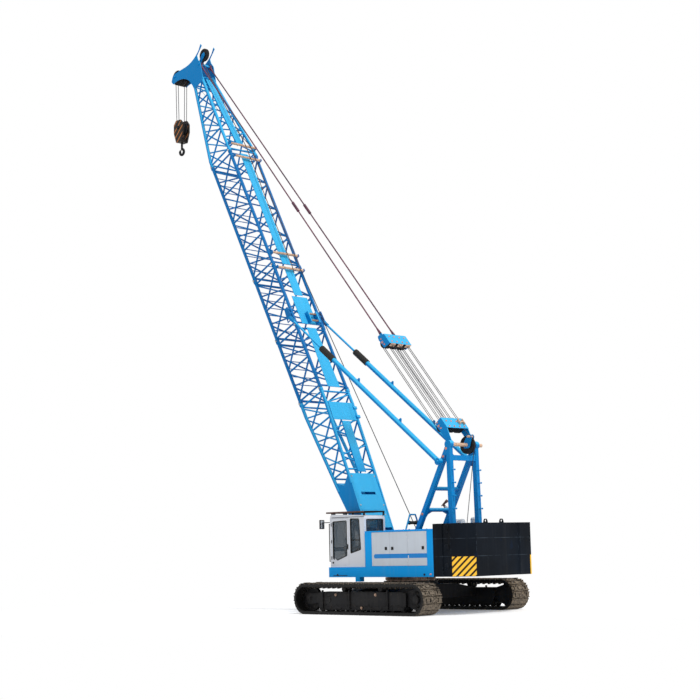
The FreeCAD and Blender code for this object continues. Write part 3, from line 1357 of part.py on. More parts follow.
def joint_eyes(along, sense):
    """The four pinned eyes at one end of a section, as thick collars round the chord ends."""
    eyes = []
    for across in (-1, 1):
        for back in (-1, 1):
            spot = corner(along, across, back)
            eyes.append(Part.makeCylinder(chord_radius * 1.35, 75, spot, Vector(sense, 0, 0)))
    return eyes


def stations(start, finish, count):
    """Panel stations of a section, a little inside its ends."""
    inset = 110
    low, high = start + inset, finish - inset
    return [low + (high - low) * i / count for i in range(count + 1)]


def welded(pieces):
    """Weld a set of tubes and plates into one piece."""
    joined = pieces[0].multiFuse(pieces[1:])
    clean = joined.removeSplitter()
    return clean if clean.isValid() else joined


def plate(points, low, high):
    """A plate parallel to the boom's side faces, from along and back pairs."""
    corners = [Vector(a, low, b) for a, b in points]
    return Part.Face(Part.makePolygon(corners + corners[:1])).extrude(Vector(0, high - low, 0))


def stop_bracket(along, across):
    """A plate beside the rear chord, on two spacers, with the long hole of a backstop's pin."""
    middle = val("stop_half_width")
    half = val("plate_mid") / 2
    radius = val("stop_slot_radius")
    edge = radius + 30
    reach = val("stop_slot_length")
    low = half_depth - reach - edge
    high = half_depth + edge
    far = along + val("stop_plate_reach")
    sheet = plate([(along - edge - 15, low), (far, low + 60), (far, high - 20), (along - edge, high)],
                  middle - half, middle + half)
    first = Vector(along, middle - 2 * half, half_depth)
    last = Vector(along - reach / 6, middle - 2 * half, half_depth - reach)
    across_slot = Vector(last.z - first.z, 0, first.x - last.x)
    across_slot.Length = radius
    corners = [first + across_slot, last + across_slot, last - across_slot, first - across_slot]
    slot = Part.Face(Part.makePolygon(corners + corners[:1])).extrude(Vector(0, 4 * half, 0))
    ends = [Part.makeCylinder(radius, 4 * half, spot, Vector(0, 1, 0)) for spot in (first, last)]
    spacers = [Part.makeCylinder(val("spacer_radius"), middle + half - half_width,
                                 Vector(far - place, half_width, half_depth), Vector(0, 1, 0))
               for place in (60, 200)]
    bracket = sheet.cut(slot.multiFuse(ends)).multiFuse(spacers)
    return bracket if across > 0 else bracket.mirror(Vector(), Vector(0, 1, 0))


def insert(start, panels):
    """A straight boom insert, with the backstop pins if they fall within it."""
    finish = start + panels * panel
    pieces = lattice(stations(start, finish, panels), [], (start, finish))
    pin_along = val("stop_pin_along")
    # Bars across the front face, closer than the panels
    spacing = panel / val("rungs_in_panel")
    for i in range(int(panels * val("rungs_in_panel"))):
        along = start + (i + 0.5) * spacing
        pieces.append(brace(corner(along, -1, -1), corner(along, 1, -1), val("rung_radius")))
    if start < pin_along < finish:
        pieces += [stop_bracket(pin_along, across) for across in (-1, 1)]
    return welded(pieces + joint_eyes(start, 1) + joint_eyes(finish, -1))


short = int(val("short_panels"))
long = int(val("long_panels"))
foot_end = val("foot_length")
node(on_boom(shaped("lower_insert", insert(foot_end, short))), "boom_lower_insert")
node(on_boom(shaped("middle_insert", insert(foot_end + short * panel, short))), "boom_middle_insert")
node(on_boom(shaped("upper_insert", insert(foot_end + 2 * short * panel, long))), "boom_upper_insert")


def foot_shape():
    """Boom foot: a plate box with pin eyes that opens into the lattice."""
    # Straight chord ends where the taper has reached the full depth
    full = (1 - foot_depth_share) / foot_growth_share * 1000
    stops = stations(box_end + 40, foot_end, 3)
    pieces = lattice(stops, [full], (box_end - 330, foot_end)) + joint_eyes(foot_end, -1)
    thick = val("foot_cheek")
    outline_points = [(-115, -60), (-60, -115), (60, -115), (box_end - 300, -section(box_end)[1] - 20),
                      (box_end, -section(box_end)[1] - 20), (box_end - 260, 0),
                      (box_end, section(box_end)[1] + 20), (box_end - 300, section(box_end)[1] + 20),
                      (500, section(500)[1] + 20), (60, 115), (-60, 115), (-115, 60)]
    for across in (-1, 1):
        low = across * half_width - thick / 2
        eye = Part.makeCylinder(45.5, thick + 40, Vector(0, low - 20, 0), Vector(0, 1, 0))
        pieces.append(plate(outline_points, low, low + thick).cut(eye))
    window_length = 90
    for back in (-1, 1):
        start, finish = 560, box_end
        low = section(start)[1] * back
        high = section(finish)[1] * back
        edge = 16 * back
        points = [(start, low), (finish, high), (finish, high + edge), (start, low + edge)]
        sheet_plate = plate(points, -half_width, half_width)
        window_half = val("window_half")
        corner_spot = Vector(val("window_place"), -window_half, 0 if back > 0 else -half_depth)
        slot = Part.makeBox(window_length, 2 * window_half, half_depth, corner_spot)
        pieces.append(sheet_plate.cut(slot))
    return welded(pieces)


node(on_boom(shaped("foot", foot_shape())), "boom_foot")


def head_shape():
    """Boom head: a tapering lattice that ends between two side plates with the sheave axles."""
    finish = val("head_start")
    stops = [head_base + 110] + [taper_start + (finish - taper_start) * i / 4 for i in (1, 2, 3, 4)]
    tubes = lattice(stops, [taper_start], (head_base, finish + 60)) + joint_eyes(head_base, 1)
    pieces = []
    reach = val("head_reach")
    far = val("boom_length")
    tip, back = val("tip_along"), val("tip_back")
    half = val("head_half")

    def spot(ahead, height):
        return Vector(finish + ahead, 0, height)

    # Side plate: pendant lugs and a spike behind, a nose in front, hollow curves between
    rear_edge = [(-160, 275), (460, 430), (660, 385), (830, 405), (990, 770), (1070, 755), (935, 565)]
    nose = [(900, -380), (1045, -870), (1030, -1010), (900, -1150), (770, -1120)]
    front_edge = [(260, -330), (0, -275), (-160, -265)]
    rear_points = [spot(*p) for p in rear_edge]
    nose_points = [spot(*p) for p in nose]
    front_points = [spot(*p) for p in front_edge]
    edges = [Part.makeLine(p, q) for p, q in zip(rear_points, rear_points[1:])]
    edges.append(Part.Arc(rear_points[-1], spot(825, 60), nose_points[0]).toShape())
    edges += [Part.makeLine(p, q) for p, q in zip(nose_points, nose_points[1:])]
    edges.append(Part.Arc(nose_points[-1], spot(620, -640), front_points[0]).toShape())
    edges += [Part.makeLine(p, q) for p, q in zip(front_points, front_points[1:])]
    edges.append(Part.makeLine(front_points[-1], rear_points[0]))
    side_face = Part.Face(Part.Wire(edges))
    # The plates lie against the outsides of the chords
    middle = half + chord_radius - 5
    for across in (-1, 1):
        cheek_plate = side_face.copy()
        cheek_plate.translate(Vector(0, across * middle - 13, 0))
        pieces.append(cheek_plate.extrude(Vector(0, 26, 0)))
    # Tip bracket: two arms from a cross tube to the tip sheave's short axle
    root = Vector(finish + 600, 0, 225)
    pieces.append(Part.makeCylinder(60, 2 * middle, root - Vector(0, middle, 0), Vector(0, 1, 0)))
    wheel_y = val("tip_across")
    for across in (-1, 1):
        low = wheel_y + across * 56 - 8
        arm_points = [(root.x - 50, root.z - 40), (root.x + 70, root.z - 30), (tip + 75, back - 30),
                      (tip + 60, back + 62), (tip - 20, back + 75), (tip - 75, back + 30)]
        pieces.append(plate(arm_points, low, low + 16))
    pieces.append(Part.makeCylinder(36, 150, Vector(tip, wheel_y - 75, back), Vector(0, 1, 0)))
    # Guard bars that keep the ropes in the sheaves at the nose
    for ahead, height in ((800, -680), (905, -610)):
        pieces.append(Part.makeCylinder(16, 2 * middle, spot(ahead, height) - Vector(0, middle, 0),
                                        Vector(0, 1, 0)))
    axles = ((40, far, -reach), (32, val("pendant_pin_along"), val("pendant_pin_back")))
    for radius, along, height in axles:
        start = Vector(along, -middle - 38, height)
        pieces.append(Part.makeCylinder(radius, 2 * middle + 76, start, Vector(0, 1, 0)))
    return welded([welded(tubes)] + pieces)


node(on_boom(shaped("head", head_shape())), "boom_head")

half = "head_half"
head_wheels = []
for i, spot in enumerate(("-150", "-50", "50", "150")):
    head_wheels.append(turned("head_wheel_%d" % i, sheave_profile("head_sheave_radius", "40.5", "40"),
                              ("boom_length", spot, "-head_reach")))
node(on_boom(group("head_wheels", head_wheels)), "head_sheaves")
tip_wheel = turned("tip_wheel", sheave_profile("tip_sheave_radius", "36.5", "40"),
                   ("tip_along", "tip_across", "tip_back"))
node(on_boom(group("tip_wheels", [tip_wheel])), "tip_sheave")

# Flat plates along the middle of the rear face


def strip(low, high, half_low, half_high, tube_share=square_share):
    """A flat plate on the rear lacing between two distances, with its half widths there."""
    lift = lacing_radius * tube_share + val("seat_gap")
    deep_low = section(low)[1] + lift
    deep_high = section(high)[1] + lift
    corners = [Vector(low, -half_low, deep_low), Vector(high, -half_high, deep_high),
               Vector(high, half_high, deep_high), Vector(low, half_low, deep_low)]
    return Part.Face(Part.makePolygon(corners + corners[:1])).extrude(Vector(0, 0, val("plate_thin")))


strips = [
    strip(foot_end - 1120, foot_end - 510, 520, 520, slant_share),
    strip(foot_end + 60, foot_end + 2 * panel - 80, 270, 200),
    strip(foot_end + 2 * panel + 60, foot_end + 3 * panel - 60, 340, 340),
    strip(foot_end + 3 * panel, foot_end + 4 * panel - 60, 185, 185),
    strip(foot_end + 4 * panel + 60, foot_end + 8 * panel - 60, 185, 185),
]
node(on_boom(shaped("rear_plates", Part.makeCompound(strips))), "boom_rear_plates")

# Rope guide rollers across the rear face, each between two ears on the chords
guides = []
for i, along in enumerate((foot_end + 3.85 * panel, foot_end + 4.35 * panel, foot_end + 7.75 * panel,
                           head_base + 0.2 * panel)):
    height = half_depth + chord_radius + 75
    bar = Part.makeCylinder(38, 2 * half_width + 40, Vector(along, -half_width - 20, height), Vector(0, 1, 0))
    ears = []
    for across in (-1, 1):
        low = across * half_width - 12
        ear = Part.makeBox(90, 24, 130, Vector(along - 45, low, half_depth + chord_radius - 6))
        saddle = Part.makeCylinder(chord_radius + 0.3, 140,
                                   Vector(along - 70, across * half_width, half_depth), Vector(1, 0, 0))
        ears.append(ear.cut(saddle))
    guides.append(bar.fuse(ears))
node(on_boom(shaped("guides", Part.makeCompound(guides))), "rope_guides")

pendants = Part.makeCompound([pendant_shape(1), pendant_shape(-1)])
node(pulled(shaped("pendant_pair", pendants)), "pendants")


# Backstops: two tubes on the A-frame, each with a rod that slides in it to an eye at the boom
def stopped(obj):
    """Place a piece drawn along the backstops, from their pins on the A-frame."""
    obj.Placement = Placement(Vector(), Rotation(Vector(0, -1, 0), 45))
    bind(obj, "Placement.Rotation.Angle", "stop_angle * 1deg")
    return place(obj, ("stop_foot_x", "0", "stop_height"))


bar_outer = rod("bar_outer", "x", ("0", "stop_half_width", "0"), "stop_radius", "stop_tube_length")
bar_sleeve = rod("bar_sleeve", "x", ("stop_tube_length - 650", "stop_half_width", "0"), "stop_radius + 22",
                 "650")
bar_eye = rod("bar_eye", "y", ("0", "stop_half_width - stop_radius + 5", "0"), "stop_radius + 25",
              "2 * stop_radius - 10")
bar_hollow = rod("bar_hollow", "x", ("450", "stop_half_width", "0"), "stop_rod_radius + 1", "stop_tube_length")
bar_bore = rod("bar_bore", "y", ("0", "stop_half_width - 150", "0"), "stop_rod_radius + 0.5", "300")
left_tube = cut("left_stop_tube", fuse("left_stop_bar", [bar_outer, bar_sleeve, bar_eye]),
                [bar_hollow, bar_bore])
node(stopped(group("stop_tubes", [left_tube, mirror("right_stop_tube", left_tube)])), "backstop_tubes")
rod_start = "stop_tube_length - 2600"
rod_end = "stop_length - fork_length"
rod_bar = rod("rod_bar", "x", (rod_start, "stop_half_width", "0"), "stop_rod_radius",
              "%s - (%s)" % (rod_end, rod_start))
fork_pin = rod("fork_pin", "y", ("stop_length", "stop_half_width - fork_half", "0"), "stop_pin_radius",
               "2 * fork_half")
fork_pieces = [rod_bar, fork_pin]
for title, low in (("inner", "stop_half_width - fork_half"),
                   ("outer", "stop_half_width + fork_half - fork_plate")):
    fork_pieces.append(box("fork_bar_" + title, (rod_end + " - 45", low, "-0.8 * fork_round"),
                           ("fork_length + 45", "fork_plate", "1.6 * fork_round")))
    fork_pieces.append(rod("fork_eye_" + title, "y", ("stop_length", low, "0"), "fork_round", "fork_plate"))
left_rod = fuse("left_stop_rod", fork_pieces)
node(stopped(group("stop_rods", [left_rod, mirror("right_stop_rod", left_rod)])), "backstop_rods")

# Hook block: two cheeks round a sheave, a cross bar and the hook that turns in it
block_place = ("hoist_x", "0", "hoist_z - hook_drop")


def hung(obj):
    return place(obj, block_place)


cheek_profile = [
    ("-120", "270"),
    ("120", "270"),
    ("245", "120"),
    ("245", "-180"),
    ("120", "-540"),
    ("-120", "-540"),
    ("-245", "-180"),
    ("-245", "120"),
]
block_cheeks = [
    slab("block_cheek_left", "XZ_Plane", cheek_profile, "104", "169"),
    slab("block_cheek_right", "XZ_Plane", cheek_profile, "-169", "-104"),
    rod("block_pin", "y", ("0", "-190", "0"), "45", "380"),
    box("block_cross", ("-115", "-105", "-535"), ("230", "210", "110")),
]
shank_hole = rod("shank_hole", "z", ("0", "0", "-600"), "38.5", "240")
node(hung(cut("block", fuse("block_steel", block_cheeks), [shank_hole])), "hook_block")
wheels = [turned("block_wheel_%d" % i, sheave_profile("hook_sheave_radius", "45.5", "42"), ("0", spot, "0"))
          for i, spot in enumerate(("-50", "50"))]
node(hung(group("block_wheels", wheels)), "hook_sheaves")

def fall_shape():
    """Four straight falls of the hoist rope between the head sheaves and the hook block."""
    falls = []
    for sense in (-1, 1):
        for across in (-50, 50):
            low = Vector(sense * (val("hook_sheave_radius") - 18), across, 0)
            high = Vector(sense * (val("head_sheave_radius") - 18), across, val("hook_drop"))
            falls.append(tube(low, high, val("hoist_rope_radius")))
    return Part.makeCompound(falls)


node(hung(shaped("fall_set", fall_shape())), "hoist_falls")


def hook_shape():
    """A forged single hook: collar, shank, bowl swept round its centre and a tapering tip."""
    bowl = 105
    thick = 44
    centre = Vector(0, 0, -870)
    collar = Part.makeCylinder(85, 60, Vector(0, 0, -425 + val("seat_gap")), Vector(0, 0, 1))
    shank = Part.makeCylinder(38, 380, centre + Vector(0, 0, bowl - 15), Vector(0, 0, 1))
    start = centre + Vector(0, 0, bowl)
    disc = Part.Face(Part.Wire(Part.makeCircle(thick, start, Vector(1, 0, 0))))
    bend = disc.revolve(centre, Vector(0, -1, 0), 280)
    turn = math.radians(280)
    end = centre + Vector(-math.sin(turn) * bowl, 0, math.cos(turn) * bowl)
    ahead = Vector(-math.cos(turn), 0, -math.sin(turn))
    tip = Part.makeCone(thick, 16, 70, end, ahead)
    return shank.multiFuse([collar, bend, Part.makeSphere(thick, start), tip])


node(hung(shaped("hook_forging", hook_shape())), "hook")


# ------------------------------------------------------------------- check and write

doc.recompute()
for obj in doc.Objects:
    for state in ("Invalid", "Error"):
        if state in obj.State:
            raise RuntimeError("%s is %s" % (obj.Name, state))
os.makedirs("parts", exist_ok=True)
to_middle = Vector(-val("overall_middle"), 0, 0)
for obj in nodes:
    if obj.Shape.isNull() or not obj.Shape.isValid() or not obj.Shape.Solids:
        raise RuntimeError("%s has no sound shape" % obj.Label)
    shape = obj.Shape.copy()
    shape.translate(to_middle)
    shape.exportStep(os.path.join("parts", obj.Label + ".step"))
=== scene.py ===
"""Looks of the dynamic compaction crane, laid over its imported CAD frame.

Metres. X points forward along the tracks, Y to the left and Z up, as in the CAD.
Places on the upper works are given from the slewing axis, and places on the boom, the
luffing gear and the backstops in frames that lie along them.
"""

import json
import math

import bmesh
import bpy
from bpy.props import FloatProperty, FloatVectorProperty, IntProperty, PointerProperty
from mathutils import Matrix, Vector


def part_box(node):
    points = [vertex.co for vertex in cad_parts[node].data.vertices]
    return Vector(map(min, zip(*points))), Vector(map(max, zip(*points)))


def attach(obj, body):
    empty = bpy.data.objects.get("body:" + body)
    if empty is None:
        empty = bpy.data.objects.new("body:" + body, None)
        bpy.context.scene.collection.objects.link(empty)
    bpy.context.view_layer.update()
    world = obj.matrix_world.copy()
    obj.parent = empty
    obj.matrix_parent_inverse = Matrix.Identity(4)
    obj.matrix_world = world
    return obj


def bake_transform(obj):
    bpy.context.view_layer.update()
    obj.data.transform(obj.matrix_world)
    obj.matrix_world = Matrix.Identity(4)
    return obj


bl_info = {
    "name": "Compaction crane looks",
    "version": (1, 0, 0),
    "blender": (4, 5, 0),
    "location": "View3D > Sidebar > Crane",
    "description": "Finishes, ropes and fittings of a dynamic compaction crane",
    "category": "Object",
}

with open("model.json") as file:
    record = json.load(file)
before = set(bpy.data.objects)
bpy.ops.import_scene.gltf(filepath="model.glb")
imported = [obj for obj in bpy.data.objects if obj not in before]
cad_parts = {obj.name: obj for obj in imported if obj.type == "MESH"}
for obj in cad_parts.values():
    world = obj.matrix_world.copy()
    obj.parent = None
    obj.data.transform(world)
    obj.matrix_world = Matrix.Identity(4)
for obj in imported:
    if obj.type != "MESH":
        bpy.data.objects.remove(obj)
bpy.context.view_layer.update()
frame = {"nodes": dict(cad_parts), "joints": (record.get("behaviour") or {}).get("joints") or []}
pins = {joint["name"]: joint for joint in frame["joints"]}


# ------------------------------------------------------------------------ where things are

def pin(name):
    """A joint's point at rest."""
    return Vector(pins[name]["pos_m"])


slew = pin("slew")


def at(x, y, z):
    """A point given from the slewing axis."""
    return Vector((slew.x + x, y, z))


def lying(origin, angle):
    """A frame whose axes run along a slanted member, to the left, and square to both."""
    turn = Matrix(((math.cos(angle), 0, -math.sin(angle)), (0, 1, 0), (math.sin(angle), 0, math.cos(angle))))
    return Matrix.Translation(origin) @ turn.to_4x4()


def heading(way):
    """The angle of a direction above level, in the upright middle plane."""
    return math.atan2(way.z, way.x)


SIDES = {"left": 1, "right": -1}
UP, LEFT = Vector((0, 0, 1)), Vector((0, 1, 0))
# the axis of a turned shape: a hole this small closes its end
CENTRE = 0.0001
# frames along the boom, the luffing falls and the backstops
boom = lying(pin("boom_luff"), math.radians(63.7))
pull = lying(pin("bail_swing"), heading(pin("bail_sheaves_spin") - pin("bail_swing")))
stop = lying(pin("backstop_swing"), heading(Vector(pins["backstop_slide"]["axis"])))
BAIL_AXLE, SPREADER_AXLE = 0.713, 4.16
DECK_TOP, HOUSE_TOP = 1.345, 2.376
# the boom's chords, the length of a panel, and where the foot and the inserts end
CHORD_SIDE, CHORD_BACK, CHORD_RADIUS = 0.587, 0.5, 0.052
PANEL, FOOT_END = 1.18, 5.3
HEAD_BASE = FOOT_END + 8 * PANEL
# rope guides: places along the boom, and the height of their rollers' axes
GUIDES = (FOOT_END + 3.85 * PANEL, FOOT_END + 4.35 * PANEL, FOOT_END + 7.75 * PANEL, HEAD_BASE + 0.2 * PANEL)
GUIDE_BACK = CHORD_BACK + CHORD_RADIUS + 0.075
HEAD_AXLE_ALONG, HEAD_AXLE_BACK = 19.25, -0.93
TRACK_SIDE, WHEEL_REACH, WHEEL_RADIUS = 1.94, 2.15, 0.445
# the counterweight's chamfer, from the side to the rear, and the joints between its castings
WEIGHT_CORNER, WEIGHT_TAIL = Vector((-3.0, 1.58, 0)), Vector((-3.6, 1.2, 0))
WEIGHT_SEAMS = (1.610, 2.100)


def srgb(code):
    """A linear colour from an sRGB hex value."""
    parts = [int(code[i:i + 2], 16) / 255 for i in (1, 3, 5)]
    return tuple(part / 12.92 if part <= 0.04045 else ((part + 0.055) / 1.055) ** 2.4
                 for part in parts) + (1.0,)


# ------------------------------------------------------------------------ what can be changed

def tint(title, code, note):
    """A colour that shows in the panel."""
    return FloatVectorProperty(name=title, description=note, subtype="COLOR", size=4, min=0, max=1,
                               default=srgb(code))


def reach(title, value, note):
    """A length that shows in the panel."""
    return FloatProperty(name=title, description=note, default=value, min=0, unit="LENGTH", precision=4)


class CraneColours(bpy.types.PropertyGroup):
    """Colours of the crane's finishes."""
    # painted shade: the boom's blue made darker for the thin tubes of the inserts, which are the same paint
    # as the boom
    shaded_lattice_blue: tint("Shaded lattice enamel", "#0868AA", "Enamel of the lattice inserts")
    boom_blue: tint("Boom blue", "#007ABE", "Enamel of the boom, the A-frame and the luffing gear")
    # painted highlight: a lighter copy of the boom enamel, laid on its faces that turn upwards, where the
    # light falls
    painted_highlight_blue: tint("Painted highlight blue", "#3CB2E4", "The same enamel where it faces the sky")
    body_blue: tint("Body blue", "#009AEA", "Enamel of the deck and the house corners")
    panel_grey: tint("Panel grey", "#C8D0DA", "Enamel of the house doors")
    cab_grey: tint("Cab grey", "#D4D8E0", "Enamel of the cab")
    weight_black: tint("Counterweight black", "#0B1017", "Enamel of the counterweight castings")
    stripe_blue: tint("Stripe blue", "#0080D0", "Band across the house doors")
    hazard_yellow: tint("Hazard yellow", "#F8C03A", "Yellow of the hazard stripes")
    track_dust: tint("Track dust", "#948776", "Dried soil on the track shoes")
    pendant_red: tint("Pendant maroon", "#6E2A44", "Sheathing of the pendant ropes")
    seat_tan: tint("Seat tan", "#C79A4E", "Cloth of the operator's seat")


class CraneSizes(bpy.types.PropertyGroup):
    """Sizes of the crane's fittings and ropes."""
    hoist_rope: reach("Hoist rope", 0.026, "Diameter of the hoist ropes")
    luff_rope: reach("Luffing rope", 0.020, "Diameter of the luffing ropes")
    grouser: reach("Grouser", 0.026, "Height of the bars on the track shoes")
    latch: reach("Door latch", 0.090, "Height of a latch on a house door")
    shoes: IntProperty(name="Track shoes", description="Shoes in one track", default=56, min=12)


class CraneStage(bpy.types.PropertyGroup):
    """Light and floor of the plain studio."""
    sun: FloatProperty(name="Sun", description="Strength of the soft key light", default=1.8, min=0)
    sky: FloatProperty(name="Sky", description="Strength of the even light all round", default=0.78, min=0)
    floor: FloatVectorProperty(name="Floor", description="Colour of the floor", subtype="COLOR", size=4,
                               min=0, max=1, default=(0.9, 0.9, 0.9, 1.0))
    floor_radius: reach("Floor radius", 60.0, "Half width of the floor")


# ------------------------------------------------------------------------ making materials

def put(tree, kind, wiring=None):
    """Add a node. Lower-case names are its own settings; the others are sockets, set or linked."""
    node = tree.nodes.new(kind)
    for key, value in (wiring or {}).items():
        if isinstance(key, str) and key[0].islower():
            setattr(node, key, value)
        elif isinstance(value, bpy.types.NodeSocket):
            tree.links.new(value, node.inputs[key])
        else:
            node.inputs[key].default_value = value
    return node.outputs


def start(name, settings):
    """An empty finish: the material, its tree, its shader and the object's coordinates."""
    finish = bpy.data.materials.new(name)
    finish.use_nodes = True
    tree = finish.node_tree
    tree.nodes.clear()
    shader = put(tree, "ShaderNodeBsdfPrincipled", settings)[0].node
    put(tree, "ShaderNodeOutputMaterial", {"Surface": shader.outputs[0]})
    return finish, tree, shader, put(tree, "ShaderNodeTexCoord")["Object"]


def patches(tree, place, scale, detail, low, high, most=1.0, **more):
    """Where a film lies: patches of noise, from none below low to its greatest share above high."""
    noise = put(tree, "ShaderNodeTexNoise", {"Vector": place, "Scale": scale, "Detail": detail, **more})[0]
    return put(tree, "ShaderNodeMapRange", {"Value": noise, "From Min": low, "From Max": high,
                                            "To Max": most})[0]


def film(tree, coat, colour, share, *masks):
    """Lay a colour over a coat, by its share within every mask."""
    for mask in masks:
        share = put(tree, "ShaderNodeMath", {"operation": "MULTIPLY", 0: share, 1: mask})[0]
    return put(tree, "ShaderNodeMix", {"data_type": "RGBA", 0: share, 6: coat, 7: colour})[2]


def surface(tree, shader, coat, height, strength, depth, pattern=None, smooth=0.0, rough=1.0):
    """Wire up a coat, a relief whose real height is depth, and a roughness read from a pattern."""
    tree.links.new(coat, shader.inputs["Base Color"])
    tree.links.new(put(tree, "ShaderNodeBump", {"Strength": strength, "Distance": depth,
                                                "Height": height})[0], shader.inputs["Normal"])
    if pattern:
        gloss = put(tree, "ShaderNodeMapRange", {"Value": pattern, "To Min": smooth, "To Max": rough})[0]
        tree.links.new(gloss, shader.inputs["Roughness"])


def grain(tree, place, scale, detail, swell, lift):
    """The height of a fine grain over a broader pattern that rises lift times as far."""
    fine = put(tree, "ShaderNodeTexNoise", {"Vector": place, "Scale": scale, "Detail": detail})[0]
    return put(tree, "ShaderNodeMath", {"operation": "MULTIPLY_ADD", 0: swell, 1: lift, 2: fine})[0]


def facing(tree, axis, low, high):
    """How far the surface faces along an axis of its piece, 0 below low and 1 above high."""
    normal = put(tree, "ShaderNodeTexCoord")["Normal"]
    part = put(tree, "ShaderNodeSeparateXYZ", {0: normal})[axis]
    return put(tree, "ShaderNodeMapRange", {"Value": part, "From Min": low, "From Max": high})[0]


def worn_edges(tree, place, width):
    """Broken lines along the edges where the coat has rubbed through; width in metres."""
    rounded = put(tree, "ShaderNodeBevel", {"samples": 4, "Radius": width})[0]
    flat = put(tree, "ShaderNodeNewGeometry")["Normal"]
    likeness = put(tree, "ShaderNodeVectorMath", {"operation": "DOT_PRODUCT", 0: rounded, 1: flat})["Value"]
    edge = put(tree, "ShaderNodeMapRange", {"Value": likeness, "From Min": 0.985, "From Max": 0.90})[0]
    gaps = patches(tree, place, 9.0, 6.0, 0.52, 0.6)
    return put(tree, "ShaderNodeMath", {"operation": "MULTIPLY", 0: edge, 1: gaps})[0]


def weather(tree, place, base, fade="#0FA0E4", faded=0.35, streaks=0.05, dust=0.3, soil="#9A8E80",
            bleached=None):
    """A coat left outdoors: sun fade in clouds a metre across, rain streaks and dust on flat tops, and, when
    a lighter colour is given, a painted highlight: that colour laid on faces turned upwards, where the light
    falls.
    """
    coat = film(tree, base, srgb(fade), patches(tree, place, 0.9, 5.0, 0.35, 0.75, faded))
    if bleached:
        # painted highlight: faces turned upwards take the lighter colour, standing in for the light that
        # falls on them
        coat = film(tree, coat, bleached, facing(tree, 2, 0.05, 0.38), 0.92)
    rain = put(tree, "ShaderNodeMapping", {"Vector": place, "Scale": (1, 1, 0.05)})[0]
    coat = film(tree, coat, srgb(soil), patches(tree, rain, 11.0, 3.0, 0.52, 0.78, streaks))
    settled = patches(tree, place, 5.0, 7.0, 0.35, 0.7, dust)
    return film(tree, coat, srgb(soil), facing(tree, 2, 0.75, 1.0), settled)


def enamel(name, base, edges=0.0, **wear):
    """Alkyd enamel sprayed on steel: an even half gloss with a faint orange peel, faded and dusty."""
    finish, tree, shader, place = start(name, {"IOR": 1.5, "Specular IOR Level": 0.1})
    coat = weather(tree, place, base, **wear)
    if edges:
        # rubbed edges show dull primer and steel
        coat = film(tree, coat, srgb("#6C6A68"), worn_edges(tree, place, edges))
    gloss = put(tree, "ShaderNodeTexNoise", {"Vector": place, "Scale": 3.0, "Detail": 4.0})[0]
    # orange peel 4 mm across over shallow dents 400 mm across
    dents = put(tree, "ShaderNodeTexNoise", {"Vector": place, "Scale": 2.5, "Detail": 2.0})[0]
    surface(tree, shader, coat, grain(tree, place, 250.0, 1.0, dents, 14.0), 0.25, 0.0006, gloss, 0.28, 0.48)
    return finish


def door_enamel(name, grey, stripe):
    """The house doors' enamel: pale grey with a blue band that ends in a half round at the front."""
    band_end, band_height, band_half, door_skin = slew.x - 0.113, 1.648, 0.063, 1.583
    finish, tree, shader, place = start(name, {"IOR": 1.5, "Specular IOR Level": 0.15})
    x, y, z = put(tree, "ShaderNodeSeparateXYZ", {0: place})
    # distance from the band's middle line, which stops short of its front end
    ahead = put(tree, "ShaderNodeMath", {"operation": "SUBTRACT", 0: x, 1: band_end})[0]
    ahead = put(tree, "ShaderNodeMath", {"operation": "MAXIMUM", 0: ahead, 1: 0.0})[0]
    above = put(tree, "ShaderNodeMath", {"operation": "SUBTRACT", 0: z, 1: band_height})[0]
    spot = put(tree, "ShaderNodeCombineXYZ", {"X": ahead, "Z": above})[0]
    away = put(tree, "ShaderNodeVectorMath", {"operation": "LENGTH", 0: spot})["Value"]
    inside = put(tree, "ShaderNodeMath", {"operation": "LESS_THAN", 0: away, 1: band_half})[0]
    side = put(tree, "ShaderNodeMath", {"operation": "ABSOLUTE", 0: y})[0]
    outside = put(tree, "ShaderNodeMath", {"operation": "GREATER_THAN", 0: side, 1: door_skin})[0]
    dull = put(tree, "ShaderNodeTexNoise", {"Vector": place, "Scale": 3.0, "Detail": 6.0})[0]
    dull = put(tree, "ShaderNodeMapRange", {"Value": dull, "To Min": 0.94, "To Max": 1.0})[0]
    coat = weather(tree, place, grey, fade="#B4BCC6", faded=0.5, streaks=0.08)
    coat = film(tree, coat, stripe, inside, outside, dull)
    gloss = put(tree, "ShaderNodeTexNoise", {"Vector": place, "Scale": 3.0, "Detail": 4.0})[0]
    # orange peel 4 mm across on sheet 3 mm thick, with dents in pans about 500 mm across
    dents = put(tree, "ShaderNodeTexNoise", {"Vector": place, "Scale": 2.0, "Detail": 1.0})[0]
    surface(tree, shader, coat, grain(tree, place, 250.0, 1.0, dents, 25.0), 0.25, 0.0006, gloss, 0.3, 0.5)
    return finish


